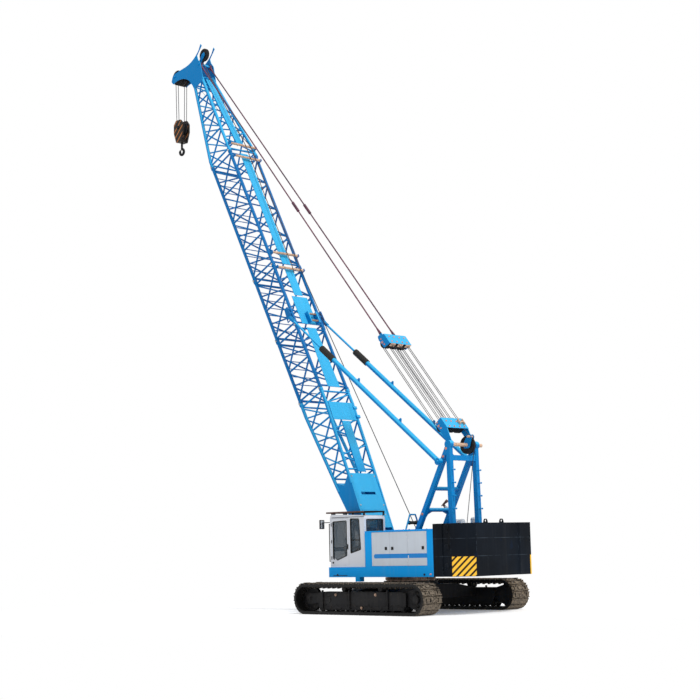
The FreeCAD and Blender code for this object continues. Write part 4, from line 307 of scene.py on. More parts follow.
def casting(name, base, yellow):
    """Sand cast iron under a thick brushed enamel: coarse skin, bluish smears, rubbed pale edges."""
    finish, tree, shader, place = start(name, {"IOR": 1.5, "Specular IOR Level": 0.08})
    coat = weather(tree, place, base, fade="#16202C", faded=0.7, streaks=0.02, dust=0.4)
    cloud = put(tree, "ShaderNodeTexNoise", {"Vector": place, "Scale": 1.6, "Detail": 6.0})[0]
    share = put(tree, "ShaderNodeMapRange", {"Value": cloud, "From Min": 0.62, "From Max": 0.8,
                                             "To Max": 0.55})[0]
    coat = film(tree, coat, srgb("#102E54"), share)
    # pale lines 9 mm wide, in broken patches, along the joints between the castings
    _, y, z = put(tree, "ShaderNodeSeparateXYZ", {0: place})
    seam_pale = patches(tree, place, 3.0, 7.0, 0.42, 0.68, 0.8, Roughness=0.7)
    for seam in WEIGHT_SEAMS:
        near = put(tree, "ShaderNodeMath", {"operation": "COMPARE", 0: z, 1: seam, 2: 0.0045})[0]
        coat = film(tree, coat, srgb("#5C6874"), near, seam_pale)
    coat = film(tree, coat, srgb("#4E5965"), worn_edges(tree, place, 0.010))
    # the right hazard film laps 50 mm round the corner of the lowest casting
    lap = put(tree, "ShaderNodeMath", {"operation": "LESS_THAN", 0: y, 1: 0.05 - WEIGHT_TAIL.y})[0]
    below = put(tree, "ShaderNodeMath", {"operation": "LESS_THAN", 0: z, 1: WEIGHT_SEAMS[0] - 0.008})[0]
    coat = film(tree, coat, yellow, lap, below)
    # sand skin 6 mm across over brush marks and swells 200 mm across
    swell = put(tree, "ShaderNodeTexNoise", {"Vector": place, "Scale": 5.0, "Detail": 2.0})[0]
    surface(tree, shader, coat, grain(tree, place, 160.0, 3.0, swell, 5.0), 0.6, 0.0012, cloud, 0.5, 0.75)
    return finish


def hazard(name, yellow, black, run, period, share, shift, cheeks=False):
    """Reflective film in slanting bars, counted along run; with cheeks, only on faces to the sides."""
    finish, tree, shader, place = start(name, {"IOR": 1.5, "Roughness": 0.4, "Specular IOR Level": 0.15})
    count = put(tree, "ShaderNodeVectorMath", {"operation": "DOT_PRODUCT", 0: place, 1: run})["Value"]
    count = put(tree, "ShaderNodeMath", {"operation": "ADD", 0: count, 1: shift})[0]
    part = put(tree, "ShaderNodeMath", {"operation": "FLOORED_MODULO", 0: count, 1: period})[0]
    bar = put(tree, "ShaderNodeMath", {"operation": "LESS_THAN", 0: part, 1: share * period})[0]
    masks = []
    if cheeks:
        across = put(tree, "ShaderNodeSeparateXYZ", {0: put(tree, "ShaderNodeTexCoord")["Normal"]})[1]
        across = put(tree, "ShaderNodeMath", {"operation": "ABSOLUTE", 0: across})[0]
        masks = [put(tree, "ShaderNodeMath", {"operation": "GREATER_THAN", 0: across, 1: 0.9})[0]]
    coat = weather(tree, place, film(tree, black, yellow, bar, *masks), fade="#C9A24A", faded=0.06,
                   streaks=0.05)
    # beads of the reflective layer, drawn 3 mm across so that they show
    beads = put(tree, "ShaderNodeTexVoronoi", {"Vector": place, "Scale": 300.0})[0]
    surface(tree, shader, coat, beads, 0.2, 0.0003)
    return finish


def track_shoes(name, dust):
    """Manganese steel shoes: black and oily at the sides, caked with dried soil on their treads."""
    finish, tree, shader, place = start(name, {"Metallic": 0.0, "Specular IOR Level": 0.15})
    normal = put(tree, "ShaderNodeNewGeometry")["Normal"]
    side = put(tree, "ShaderNodeSeparateXYZ", {0: normal})[1]
    side = put(tree, "ShaderNodeMath", {"operation": "ABSOLUTE", 0: side})[0]
    tread = put(tree, "ShaderNodeMapRange", {"Value": side, "From Min": 0.5, "From Max": 0.2})[0]
    # the soil lies on faces that look away from the loop's middle line
    x, _, z = put(tree, "ShaderNodeSeparateXYZ", {0: place})
    x = put(tree, "ShaderNodeMath", {"operation": "SUBTRACT", 0: x, 1: slew.x})[0]
    middle = put(tree, "ShaderNodeClamp", {"Value": x, "Min": -WHEEL_REACH, "Max": WHEEL_REACH})[0]
    x = put(tree, "ShaderNodeMath", {"operation": "SUBTRACT", 0: x, 1: middle})[0]
    z = put(tree, "ShaderNodeMath", {"operation": "SUBTRACT", 0: z, 1: WHEEL_RADIUS})[0]
    away = put(tree, "ShaderNodeCombineXYZ", {"X": x, "Z": z})[0]
    outward = put(tree, "ShaderNodeVectorMath", {"operation": "DOT_PRODUCT", 0: normal, 1: away})["Value"]
    outward = put(tree, "ShaderNodeMath", {"operation": "GREATER_THAN", 0: outward, 1: -0.02})[0]
    cake = put(tree, "ShaderNodeTexNoise", {"Vector": place, "Scale": 16.0, "Detail": 8.0,
                                            "Roughness": 0.65})[0]
    hold = put(tree, "ShaderNodeMapRange", {"Value": cake, "From Min": 0.36, "From Max": 0.52})[0]
    share = put(tree, "ShaderNodeMath", {"operation": "MULTIPLY", 0: tread, 1: outward})[0]
    share = put(tree, "ShaderNodeMath", {"operation": "MULTIPLY", 0: share, 1: hold})[0]
    steel = film(tree, srgb("#0B0B0C"), srgb("#242322"), cake)
    coat = film(tree, steel, film(tree, srgb("#4E4740"), dust, cake), share)
    # lumps of soil 60 mm across with 5 mm grit
    surface(tree, shader, coat, grain(tree, place, 190.0, 2.0, cake, 6.0), 0.7, 0.002, share, 0.45, 0.95)
    return finish


def chassis_paint(name, base="#131315", soil="#5E564E", soiled=0.3, edges=True):
    """Black chassis paint on rolled plate: satin, with splashed soil low down and rubbed edges."""
    finish, tree, shader, place = start(name, {"IOR": 1.5, "Specular IOR Level": 0.2})
    coat = weather(tree, place, srgb(base), fade="#1E1E21", faded=0.8, streaks=0.1, dust=0.6, soil=soil)
    splash = put(tree, "ShaderNodeTexNoise", {"Vector": place, "Scale": 6.0, "Detail": 8.0,
                                              "Roughness": 0.7})[0]
    share = put(tree, "ShaderNodeMapRange", {"Value": splash, "From Min": 0.55, "From Max": 0.75,
                                             "To Max": soiled})[0]
    coat = film(tree, coat, srgb(soil), share)
    if edges:
        coat = film(tree, coat, srgb("#55514C"), worn_edges(tree, place, 0.006))
    # grit 8 mm across over splashes 170 mm across
    surface(tree, shader, coat, grain(tree, place, 120.0, 3.0, splash, 3.0), 0.5, 0.0008, splash, 0.35, 0.85)
    return finish


def bare_steel(name, base, grease="#3A2E28", rust="#8C5A40", roughness=0.38, metallic=1.0):
    """Turned steel left bare: fine tool marks, a brown film of grease and light rust."""
    finish, tree, shader, place = start(name, {"Metallic": metallic})
    stain = put(tree, "ShaderNodeTexNoise", {"Vector": place, "Scale": 9.0, "Detail": 7.0,
                                             "Roughness": 0.65})[0]
    share = put(tree, "ShaderNodeMapRange", {"Value": stain, "From Min": 0.45, "From Max": 0.7,
                                             "To Max": 0.75})[0]
    coat = film(tree, srgb(base), srgb(grease), share)
    coat = film(tree, coat, srgb(rust), patches(tree, place, 45.0, 5.0, 0.58, 0.7, 0.6))
    # tool marks 2 mm apart, drawn coarser than the real 0.3 mm so that they show
    marks = put(tree, "ShaderNodeTexNoise", {"Vector": place, "Scale": 500.0, "Detail": 1.0})[0]
    surface(tree, shader, coat, marks, 0.3, 0.0004, stain, roughness, roughness + 0.35)
    return finish


def strands(tree, shader, turns, crown_width, gap, sheath, pattern, roughness, strength, depth):
    """Strands side by side, one to each turn: sheath on their crowns and a darker colour between."""
    wave = put(tree, "ShaderNodeMath", {"operation": "PINGPONG", 0: turns, 1: 0.5})[0]
    crown = put(tree, "ShaderNodeMapRange", {"Value": wave, "From Max": crown_width})[0]
    surface(tree, shader, film(tree, gap, sheath, crown), crown, strength, depth, pattern,
            roughness - 0.1, roughness + 0.2)


def wire_rope(name, base, gap, metallic=0.7):
    """Wire rope: greased steel strands at a slant, six to the 50 mm of a lay; V runs along the rope."""
    finish, tree, shader, place = start(name, {"Metallic": metallic})
    u, v, _ = put(tree, "ShaderNodeSeparateXYZ", {0: put(tree, "ShaderNodeUVMap", {"uv_map": "lay"})[0]})
    turns = put(tree, "ShaderNodeMath", {"operation": "MULTIPLY_ADD", 0: v, 1: 1 / 0.05, 2: u})[0]
    grease = put(tree, "ShaderNodeTexNoise", {"Vector": place, "Scale": 7.0, "Detail": 5.0})[0]
    steel = film(tree, srgb(base), srgb(gap), grease)
    strands(tree, shader, turns, 0.22, srgb(gap), steel, grease, 0.5, 0.9, 0.003)
    return finish


def long_rope(name, base, gap, way, pitch, metallic=0.0):
    """A straight stay in its sheath: the strands show through as rings, pitch apart along its run."""
    finish, tree, shader, place = start(name, {"Metallic": metallic})
    along = put(tree, "ShaderNodeVectorMath", {"operation": "DOT_PRODUCT", 0: place, 1: way})["Value"]
    turns = put(tree, "ShaderNodeMath", {"operation": "MULTIPLY", 0: along, 1: 1 / pitch})[0]
    patch = put(tree, "ShaderNodeTexNoise", {"Vector": place, "Scale": 1.3, "Detail": 6.0})[0]
    share = put(tree, "ShaderNodeMapRange", {"Value": patch, "From Min": 0.4, "From Max": 0.7})[0]
    strands(tree, shader, turns, 0.3, gap, film(tree, base, gap, share), patch, 0.45, 0.6, 0.002)
    return finish


def rubber(name):
    """Extruded rubber: matt black with a faint bloom over a grain of 2.5 mm."""
    finish, tree, shader, place = start(name, {"IOR": 1.52, "Specular IOR Level": 0.3})
    bloom = put(tree, "ShaderNodeTexNoise", {"Vector": place, "Scale": 12.0, "Detail": 5.0})[0]
    pores = put(tree, "ShaderNodeTexNoise", {"Vector": place, "Scale": 400.0})[0]
    coat = film(tree, srgb("#151515"), srgb("#34322F"), bloom)
    surface(tree, shader, coat, pores, 0.3, 0.0003, bloom, 0.6, 0.9)
    return finish


def tinted_glass(name):
    """Toughened float glass with a green grey tint, dusty towards its lower edge."""
    finish, tree, shader, place = start(name, {"IOR": 1.52, "Metallic": 0.0})
    dust = put(tree, "ShaderNodeTexNoise", {"Vector": place, "Scale": 4.0, "Detail": 6.0})[0]
    low = put(tree, "ShaderNodeSeparateXYZ", {0: place})[2]
    low = put(tree, "ShaderNodeMapRange", {"Value": low, "From Min": 2.0, "From Max": 1.5, "To Min": 0.50,
                                           "To Max": 0.42})[0]
    veil = put(tree, "ShaderNodeMapRange", {"Value": dust, "To Min": -0.06, "To Max": 0.1})[0]
    clear = put(tree, "ShaderNodeMath", {"operation": "ADD", 0: low, 1: veil})[0]
    tree.links.new(clear, shader.inputs["Alpha"])
    # rolls of the glass, 700 mm apart
    rolls = put(tree, "ShaderNodeTexNoise", {"Vector": place, "Scale": 1.5})[0]
    surface(tree, shader, film(tree, srgb("#16262E"), srgb("#3A5468"), dust), rolls, 0.1, 0.002, dust,
            0.02, 0.12)
    return finish


def seat_cloth(name, base):
    """Woven polyester: matt, with threads 3 mm apart drawn coarser than the real ones."""
    finish, tree, shader, place = start(name, {"Roughness": 0.9, "Sheen Weight": 0.3,
                                               "Specular IOR Level": 0.2})
    warp = put(tree, "ShaderNodeTexWave", {"Vector": place, "Scale": 50.0, "bands_direction": "Z"})[1]
    weft = put(tree, "ShaderNodeTexWave", {"Vector": place, "Scale": 50.0, "bands_direction": "Y"})[1]
    weave = put(tree, "ShaderNodeMath", {"operation": "MULTIPLY", 0: warp, 1: weft})[0]
    fade = put(tree, "ShaderNodeTexNoise", {"Vector": place, "Scale": 6.0, "Detail": 4.0})[0]
    coat = film(tree, base, srgb("#8E6B32"), fade)
    coat = put(tree, "ShaderNodeMix", {"data_type": "RGBA", "blend_type": "MULTIPLY", 0: 0.35, 6: coat,
                                       7: weave})[2]
    surface(tree, shader, coat, weave, 0.6, 0.001)
    return finish


def lamp_glass(name, code):
    """Moulded lens: clear coloured acrylic with a face ribbed every 10 mm."""
    finish, tree, shader, place = start(name, {"IOR": 1.49, "Roughness": 0.12, "Coat Weight": 0.6})
    ribs = put(tree, "ShaderNodeTexWave", {"Vector": place, "Scale": 30.0, "bands_direction": "Z"})[1]
    coat = film(tree, film(tree, srgb(code), srgb("#FFFFFF"), ribs), srgb(code), 0.75)
    surface(tree, shader, coat, ribs, 0.5, 0.001)
    return finish


def make_finishes():
    """Every finish by its name."""
    colours = bpy.context.scene.crane_colours
    yellow, bars = tuple(colours.hazard_yellow), srgb("#101018")
    way = (WEIGHT_TAIL - WEIGHT_CORNER).normalized()
    first_bar = WEIGHT_SEAMS[0] - way.dot(at(*WEIGHT_CORNER))
    films = {f"hazard_{side}": hazard(f"reflective film {side}", yellow, bars, (way.x, sign * way.y, -1.0),
                                      0.182, 0.60, first_bar) for side, sign in SIDES.items()}
    return films | {
        # the inserts take the boom's blue darkened, as painted shade on their thin tubes
        "lattice": enamel("lattice enamel darkened as painted shade", tuple(colours.shaded_lattice_blue), fade="#0C78BA"),
        # the boom's enamel with a painted highlight: a lighter blue on its faces that turn upwards
        "boom": enamel("boom enamel with painted highlight", tuple(colours.boom_blue), fade="#0888CE",
                       bleached=tuple(colours.painted_highlight_blue)),
        "body": enamel("alkyd enamel body blue", tuple(colours.body_blue), edges=0.008),
        "doors": door_enamel("alkyd enamel door grey", tuple(colours.panel_grey), tuple(colours.stripe_blue)),
        "cab": enamel("alkyd enamel cab grey", tuple(colours.cab_grey), fade="#C0C6D0", faded=0.4,
                      streaks=0.08, edges=0.005),
        "weight": casting("brushed enamel on cast iron", tuple(colours.weight_black), yellow),
        "block": hazard("block enamel yellow and black", srgb("#B4703E"), srgb("#15151B"),
                        (1.0, 0.0, 1.0), 0.26, 0.22, 0.03, cheeks=True),
        "track": track_shoes("cast manganese steel shoes", tuple(colours.track_dust)),
        "chassis": chassis_paint("chassis paint black"),
        "guard": chassis_paint("satin enamel black", base="#17181B", soiled=0.1, edges=False),
        "steel": bare_steel("turned steel bare", "#B49A88"),
        "zinc": bare_steel("zinc plated steel", "#C9C6BC", grease="#7A7468", rust="#A86A52", roughness=0.3),
        "primer": bare_steel("red oxide primer", "#D79078", grease="#A8604C", rust="#8A4A38",
                             roughness=0.6, metallic=0.0),
        "sheave": chassis_paint("cast steel sheave black", base="#202022", soil="#6E6258", soiled=0.35),
        "rope": wire_rope("wire rope greased", "#3E3F46", "#101014", metallic=0.3),
        "wound": long_rope("wire rope wound brown", srgb("#6E5A4C"), srgb("#1D1714"), (0, 1, 0), 0.0276,
                           metallic=0.4),
        "falls": long_rope("wire rope falls", srgb("#3A3C44"), srgb("#121318"), (0, 0, 1), 0.05,
                           metallic=0.3),
        "pendant": long_rope("sheathed pendant rope", tuple(colours.pendant_red), srgb("#321830"),
                             tuple(pull.col[0][:3]), 0.09),
        "wound_rope": wire_rope("wire rope brown", "#8A7464", "#2A201B"),
        "sleeve": bare_steel("bronze sleeve", "#D9B79C", grease="#8F6E58", rust="#B07A58", roughness=0.5,
                             metallic=0.3),
        "rusty": bare_steel("scaled plate", "#5E4038", grease="#2E2422", rust="#6A3A2C", roughness=0.7,
                            metallic=0.0),
        "mirror": bare_steel("mirror glass", "#E4E8EA", grease="#C4C8CA", rust="#B8B8B4", roughness=0.04),
        "rubber": rubber("extruded rubber"),
        "glass": tinted_glass("tinted float glass"),
        "seat": seat_cloth("woven polyester tan", tuple(colours.seat_tan)),
        "engine": chassis_paint("engine enamel grey", base="#565A5E", soil="#3A332C", soiled=0.5),
        "silver": bare_steel("aluminium heat paint", "#D4D8DC", grease="#8E8478", rust="#B98868",
                             roughness=0.42, metallic=0.8),
        "orange": lamp_glass("acrylic lens orange", "#F07A28"),
        "lens": lamp_glass("polycarbonate lens clear", "#C9D2D6"),
        "hook": chassis_paint("hook enamel black", base="#1A1A1C", soil="#6A5B50", soiled=0.4),
        "plastic": chassis_paint("moulded ABS black", base="#222326", soiled=0.05, edges=False),
    }


# ------------------------------------------------------------------------ making shapes

def rod(bm, start_point, end_point, radius, sides=12, end_radius=None):
    """A round bar or a cone between two points."""
    low, high = Vector(start_point), Vector(end_point)
    way = high - low
    place = Matrix.Translation((low + high) / 2) @ way.to_track_quat("Z", "Y").to_matrix().to_4x4()
    bmesh.ops.create_cone(bm, cap_ends=True, segments=sides, radius1=radius,
                          radius2=radius if end_radius is None else end_radius,
                          depth=way.length, matrix=place)


def block(bm, low, high, place=Matrix(), edge=0.0):
    """A box between two corners of a frame, with its edges broken."""
    low, high = Vector(low), Vector(high)
    shape = place @ Matrix.Translation((low + high) / 2) @ Matrix.Diagonal((*(high - low), 1))
    made = bmesh.ops.create_cube(bm, size=1, matrix=shape)["verts"]
    if edge:
        edges = list(dict.fromkeys(line for spot in made for line in spot.link_edges))
        bmesh.ops.bevel(bm, geom=edges, offset=edge, segments=2, profile=0.5, affect="EDGES", material=-1)


def rods(bm, *rows):
    """Round bars given from the slewing axis, by their ends, radius, sides and end radius."""
    for first, last, *rest in rows:
        rod(bm, at(*first), at(*last), *rest)


def blocks(bm, *rows):
    """Boxes given from the slewing axis, by two corners and the width of their broken edges."""
    for low, high, edge in rows:
        block(bm, at(*low), at(*high), edge=edge)


def side_block(bm, sign, low, high, edge=0.0):
    """A box given for the left side from the slewing axis, on the left or mirrored to the right."""
    near, far = sorted((sign * low[1], sign * high[1]))
    block(bm, at(low[0], near, low[2]), at(high[0], far, high[2]), edge=edge)


def outlined(bm, outline, place, corner):
    """A flat face cut to an outline in the XZ plane of a frame, with its corners rounded."""
    spots = [bm.verts.new(place @ Vector((x, 0, z))) for x, z in outline]
    face = bm.faces.new(spots)
    if corner:
        made = bmesh.ops.bevel(bm, geom=spots, offset=corner, segments=4, profile=0.5, affect="VERTICES",
                               material=-1)["verts"]
        face = max({near for spot in made for near in spot.link_faces}, key=lambda near: len(near.verts))
    return face


def thicken(bm, faces, way):
    """Give flat faces a thickness."""
    grown = bmesh.ops.extrude_face_region(bm, geom=faces)["geom"]
    bmesh.ops.translate(bm, verts=[item for item in grown if isinstance(item, bmesh.types.BMVert)], vec=way)


def plate(bm, outline, thick, place=Matrix(), corner=0.0):
    """A plate cut to an outline in the XZ plane of a frame, thickened along its Y."""
    thicken(bm, [outlined(bm, outline, place, corner)], place.to_3x3() @ Vector((0, thick, 0)))


def ring_plate(bm, outline, width, thick, place=Matrix(), corner=0.045):
    """A flat ring inside an outline in the XZ plane, thickened along Y: a seal or a rim."""
    face = outlined(bm, outline, place, corner)
    face.normal_update()
    rim = bmesh.ops.inset_region(bm, faces=[face], thickness=width, use_boundary=True,
                                 use_even_offset=True)["faces"]
    bmesh.ops.delete(bm, geom=[face], context="FACES_ONLY")
    thicken(bm, rim, place.to_3x3() @ Vector((0, thick, 0)))


def turned(bm, profile, middle, sides=48, place=Matrix(), axis=LEFT):
    """A shape turned about an axis through a point of a frame, from (distance, radius) spots."""
    spots = [bm.verts.new(place @ (middle + axis * along + UP * radius)) for along, radius in profile]
    lines = [bm.edges.new(pair) for pair in zip(spots, spots[1:])]
    bmesh.ops.spin(bm, geom=spots + lines, cent=place @ middle, axis=place.to_3x3() @ axis,
                   angle=math.tau, steps=sides, use_merge=True)


def bolt(bm, spot, out, across, washer=True):
    """A hex bolt head, on its washer, that sits on a surface."""
    spot, out = Vector(spot), Vector(out).normalized()
    # a head is half as high as it is wide, and its foot is sunk 2 mm
    foot, lift = spot - out * 0.002, 0.0
    if washer:
        lift = across * 0.12
        rod(bm, foot, spot + out * lift, across * 0.85, 12)
    rod(bm, foot, spot + out * (lift + across * 0.5), across * 0.577, 6)


def bolt_circle(bm, middle, radius, count, out, across, washer=True, turned_by=0.0, place=Matrix()):
    """Bolts round a circle in the XZ plane of a frame; turned_by is in steps of the circle."""
    for step in range(count):
        turn = math.tau * (step + turned_by) / count
        spot = middle + radius * Vector((math.cos(turn), 0, math.sin(turn)))
        bolt(bm, place @ spot, out, across, washer)


def finish_piece(name, bm, body, material, edge=0.0):
    """Make a mesh object of a bmesh, close its finish and let it ride on a body."""
    bmesh.ops.recalc_face_normals(bm, faces=bm.faces)
    mesh = bpy.data.meshes.new(name)
    bm.to_mesh(mesh)
    bm.free()
    return dress(name, mesh, body, material, edge)


def dress(name, mesh, body, material, edge=0.0):
    """An object for a finished mesh, with its material and the body it rides on."""
    mesh.materials.clear()
    mesh.materials.append(finishes[material])
    mesh.shade_smooth()
    mesh.set_sharp_from_angle(angle=math.radians(38))
    piece = bpy.data.objects.new(name, mesh)
    bpy.context.scene.collection.objects.link(piece)
    if edge:
        soft = piece.modifiers.new("edge", "BEVEL")
        soft.width, soft.segments, soft.limit_method = edge, 2, "ANGLE"
    if body:
        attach(piece, body)
    return piece


def rope(name, runs, diameter, body, material):
    """Ropes swept along their runs, with a map for their lay: U goes round once and V is metres."""
    line = bpy.data.curves.new(name, "CURVE")
    line.dimensions = "3D"
    line.bevel_depth, line.bevel_resolution = diameter / 2, 1
    for run in runs:
        spline = line.splines.new("POLY")
        spline.points.add(len(run) - 1)
        for point, spot in zip(spline.points, run):
            point.co = (*spot, 1)
    carrier = bpy.data.objects.new(name + "_run", line)
    mesh = bpy.data.meshes.new_from_object(carrier)
    bpy.data.objects.remove(carrier)
    bpy.data.curves.remove(line)
    mesh.name = name
    # the sweep gives its vertices ring by ring
    ring = len(mesh.vertices) // sum(len(run) for run in runs)
    lengths, rounds = [], []
    for run in runs:
        travelled = 0.0
        for here, last in zip(run, [run[0]] + list(run)):
            travelled += (Vector(here) - Vector(last)).length
            lengths += [travelled] * ring
            rounds += [step / ring for step in range(ring)]
    lay = (mesh.uv_layers.get("lay") or mesh.uv_layers.new(name="lay")).data
    for face in mesh.polygons:
        wraps = max(rounds[i] for i in face.vertices) - min(rounds[i] for i in face.vertices) > 0.5
        for loop in face.loop_indices:
            vertex = mesh.loops[loop].vertex_index
            turn = rounds[vertex] + (1.0 if wraps and rounds[vertex] < 0.5 else 0.0)
            lay[loop].uv = (turn, lengths[vertex])
    bm = bmesh.new()
    bm.from_mesh(mesh)
    bmesh.ops.holes_fill(bm, edges=[edge for edge in bm.edges if edge.is_boundary])
    bmesh.ops.recalc_face_normals(bm, faces=bm.faces)
    bm.to_mesh(mesh)
    bm.free()
    return dress(name, mesh, body, material)


def arc(middle, radius, first, last, steps=10):
    """Points round a circle in the XZ plane, between two angles in degrees."""
    angles = [math.radians(first + (last - first) * step / steps) for step in range(steps + 1)]
    return [Vector(middle) + radius * Vector((math.cos(angle), 0, math.sin(angle))) for angle in angles]


def touching(spot, middle, radius, side):
    """The angle in degrees where a straight run from a spot meets a circle, on one side of it."""
    away = Vector(spot) - Vector(middle)
    away.y = 0
    return math.degrees(heading(away) + side * math.acos(radius / away.length))


# ------------------------------------------------------------------------ light, floor, camera

def seen_directly(tree):
    """One for rays from the camera, from mirrors and through glass, and nought for lighting rays."""
    rays = put(tree, "ShaderNodeLightPath")
    seen = rays["Is Camera Ray"]
    for other in ("Is Glossy Ray", "Is Transmission Ray"):
        seen = put(tree, "ShaderNodeMath", {"operation": "MAXIMUM", 0: seen, 1: rays[other]})[0]
    return seen


class CRANE_OT_stage(bpy.types.Operator):
    """Build the plain pale studio: the floor, the light and the camera"""
    bl_idname = "crane.stage"
    bl_label = "Studio"

    def execute(self, context):
        scene, values = context.scene, context.scene.crane_stage
        white = (1, 1, 1, 1)
        scene.view_settings.view_transform = "Standard"
        world = bpy.data.worlds.new("studio light")
        scene.world = world
        world.use_nodes = True
        tree = world.node_tree
        tree.nodes.clear()
        power = put(tree, "ShaderNodeMapRange", {"Value": seen_directly(tree), "To Min": values.sky,
                                                 "To Max": 1.0})[0]
        light = put(tree, "ShaderNodeBackground", {"Color": white, "Strength": power})[0]
        put(tree, "ShaderNodeOutputWorld", {"Surface": light})

        sun = bpy.data.lights.new("key light", "SUN")
        sun.energy, sun.angle = values.sun, math.radians(12)
        lamp = bpy.data.objects.new("key light", sun)
        lamp.rotation_mode = "QUATERNION"
        lamp.rotation_quaternion = Vector((-0.60, 0.02, 0.80)).to_track_quat("Z", "Y")
        scene.collection.objects.link(lamp)

        # matt floor that fades into the pale background away from the crane
        fade_start, fade_end, lift = 5.0, 13.0, 0.16
        bm = bmesh.new()
        bmesh.ops.create_grid(bm, x_segments=8, y_segments=8, size=values.floor_radius)
        mesh = bpy.data.meshes.new("studio_floor")
        bm.to_mesh(mesh)
        bm.free()
        paper = bpy.data.materials.new("studio paper")
        paper.use_nodes = True
        tree = paper.node_tree
        tree.nodes.clear()
        place = put(tree, "ShaderNodeTexCoord")["Object"]
        away = put(tree, "ShaderNodeVectorMath", {"operation": "LENGTH", 0: place})["Value"]
        far = put(tree, "ShaderNodeMapRange", {"Value": away, "From Min": fade_start,
                                               "From Max": fade_end})[0]
        seen = seen_directly(tree)
        matt = put(tree, "ShaderNodeBsdfDiffuse", {"Color": tuple(values.floor)})[0]
        glow = put(tree, "ShaderNodeMath", {"operation": "MULTIPLY", 0: seen, 1: lift})[0]
        glow = put(tree, "ShaderNodeEmission", {"Color": white, "Strength": glow})[0]
        near = put(tree, "ShaderNodeAddShader", {0: matt, 1: glow})[0]
        plain = put(tree, "ShaderNodeEmission", {"Color": white, "Strength": 1.0})[0]
        share = put(tree, "ShaderNodeMath", {"operation": "MULTIPLY", 0: far, 1: seen})[0]
        whole = put(tree, "ShaderNodeMixShader", {0: share, 1: near, 2: plain})[0]
        put(tree, "ShaderNodeOutputMaterial", {"Surface": whole})
        mesh.materials.append(paper)
        floor = bpy.data.objects.new("studio_floor", mesh)
        scene.collection.objects.link(floor)

        # the camera stands behind the left side and looks up along the boom
        stand, aim_x, aim_y = (-34.432, 33.45, 1.93), 30.37, -33.45
        lens = bpy.data.cameras.new("camera")
        lens.lens, lens.sensor_width = 78.12, 36.0
        lens.clip_start, lens.clip_end = 1.0, 400.0
        camera = bpy.data.objects.new("camera", lens)
        turn = math.atan2(aim_y, aim_x) + math.radians(2.5)
        rise, roll = math.radians(7.39), math.radians(-1.32)
        ahead = Vector((math.cos(turn) * math.cos(rise), math.sin(turn) * math.cos(rise), math.sin(rise)))
        level = ahead.cross(UP).normalized()
        right = math.cos(roll) * level + math.sin(roll) * level.cross(ahead)
        camera.matrix_world = (Matrix.Translation(stand)
                               @ Matrix((right, right.cross(ahead), -ahead)).transposed().to_4x4())
        scene.collection.objects.link(camera)
        scene.camera = camera
        return {"FINISHED"}


# ------------------------------------------------------------------------ the frame's finishes

NODE_FINISH = {
    "boom": ("a_frame", "backstop_tubes", "backstop_rods", "boom_foot", "boom_head", "boom_rear_plates",
             "luffing_bail", "luffing_spreader", "rope_hoop"),
    "lattice": ("boom_lower_insert", "boom_middle_insert", "boom_upper_insert", "rope_guides"),
    "body": ("deck", "left_house", "right_house", "side_tank", "winch_stands"),
    "doors": ("left_front_door", "left_middle_door", "left_rear_door", "right_front_door",
              "right_middle_door", "right_rear_door"),
    "cab": ("cab_shell", "cab_door"),
    "weight": ("counterweight",),
    "track": ("left_track", "right_track"),
    "chassis": ("side_frames", "carbody", "drive_sprockets", "idler_wheels", "track_rollers"),
    "guard": ("roof_guard", "cab_mirror"),
    "steel": ("slewing_ring", "main_winch_drum", "second_winch_drum", "luffing_winch_drum"),
    "sheave": ("apex_sheave", "head_sheaves", "tip_sheave", "bail_sheaves", "spreader_sheaves",
               "hook_sheaves"),
    "falls": ("hoist_falls",),
    "pendant": ("pendants",),
    "glass": ("cab_glass", "cab_door_glass"),
    "seat": ("operator_seat",),
    "engine": ("engine",),
    "silver": ("muffler",),
    "block": ("hook_block",),
    "hook": ("hook",),
}
finishes = {}


class CRANE_OT_finish(bpy.types.Operator):
    """Give every part of the frame its finish"""
    bl_idname = "crane.finish"
    bl_label = "Finishes"

    def execute(self, context):
        finishes.update(make_finishes())
        for title, nodes in NODE_FINISH.items():
            for name in nodes:
                mesh = frame["nodes"][name].data
                mesh.materials.clear()
                mesh.materials.append(finishes[title])
        bare = set(frame["nodes"]) - {name for nodes in NODE_FINISH.values() for name in nodes}
        if bare:
            raise RuntimeError(f"no finish for {sorted(bare)}")
        return {"FINISHED"}


# ------------------------------------------------------------------------ undercarriage

def on_track(distance):
    """A point on the outside of a track loop from its front foot, and its outward direction."""
    flat, half = 2 * WHEEL_REACH, math.pi * WHEEL_RADIUS
    if distance < flat:
        return (WHEEL_REACH - distance, 0.0), (0.0, -1.0)
    distance -= flat
    if distance < half:
        turn = distance / WHEEL_RADIUS
        out = (-math.sin(turn), -math.cos(turn))
        return (-WHEEL_REACH + WHEEL_RADIUS * out[0], WHEEL_RADIUS * (1 + out[1])), out
    distance -= half
    if distance < flat:
        return (distance - WHEEL_REACH, 2 * WHEEL_RADIUS), (0.0, 1.0)
    turn = (distance - flat) / WHEEL_RADIUS
    out = (math.sin(turn), math.cos(turn))
    return (WHEEL_REACH + WHEEL_RADIUS * out[0], WHEEL_RADIUS * (1 + out[1])), out


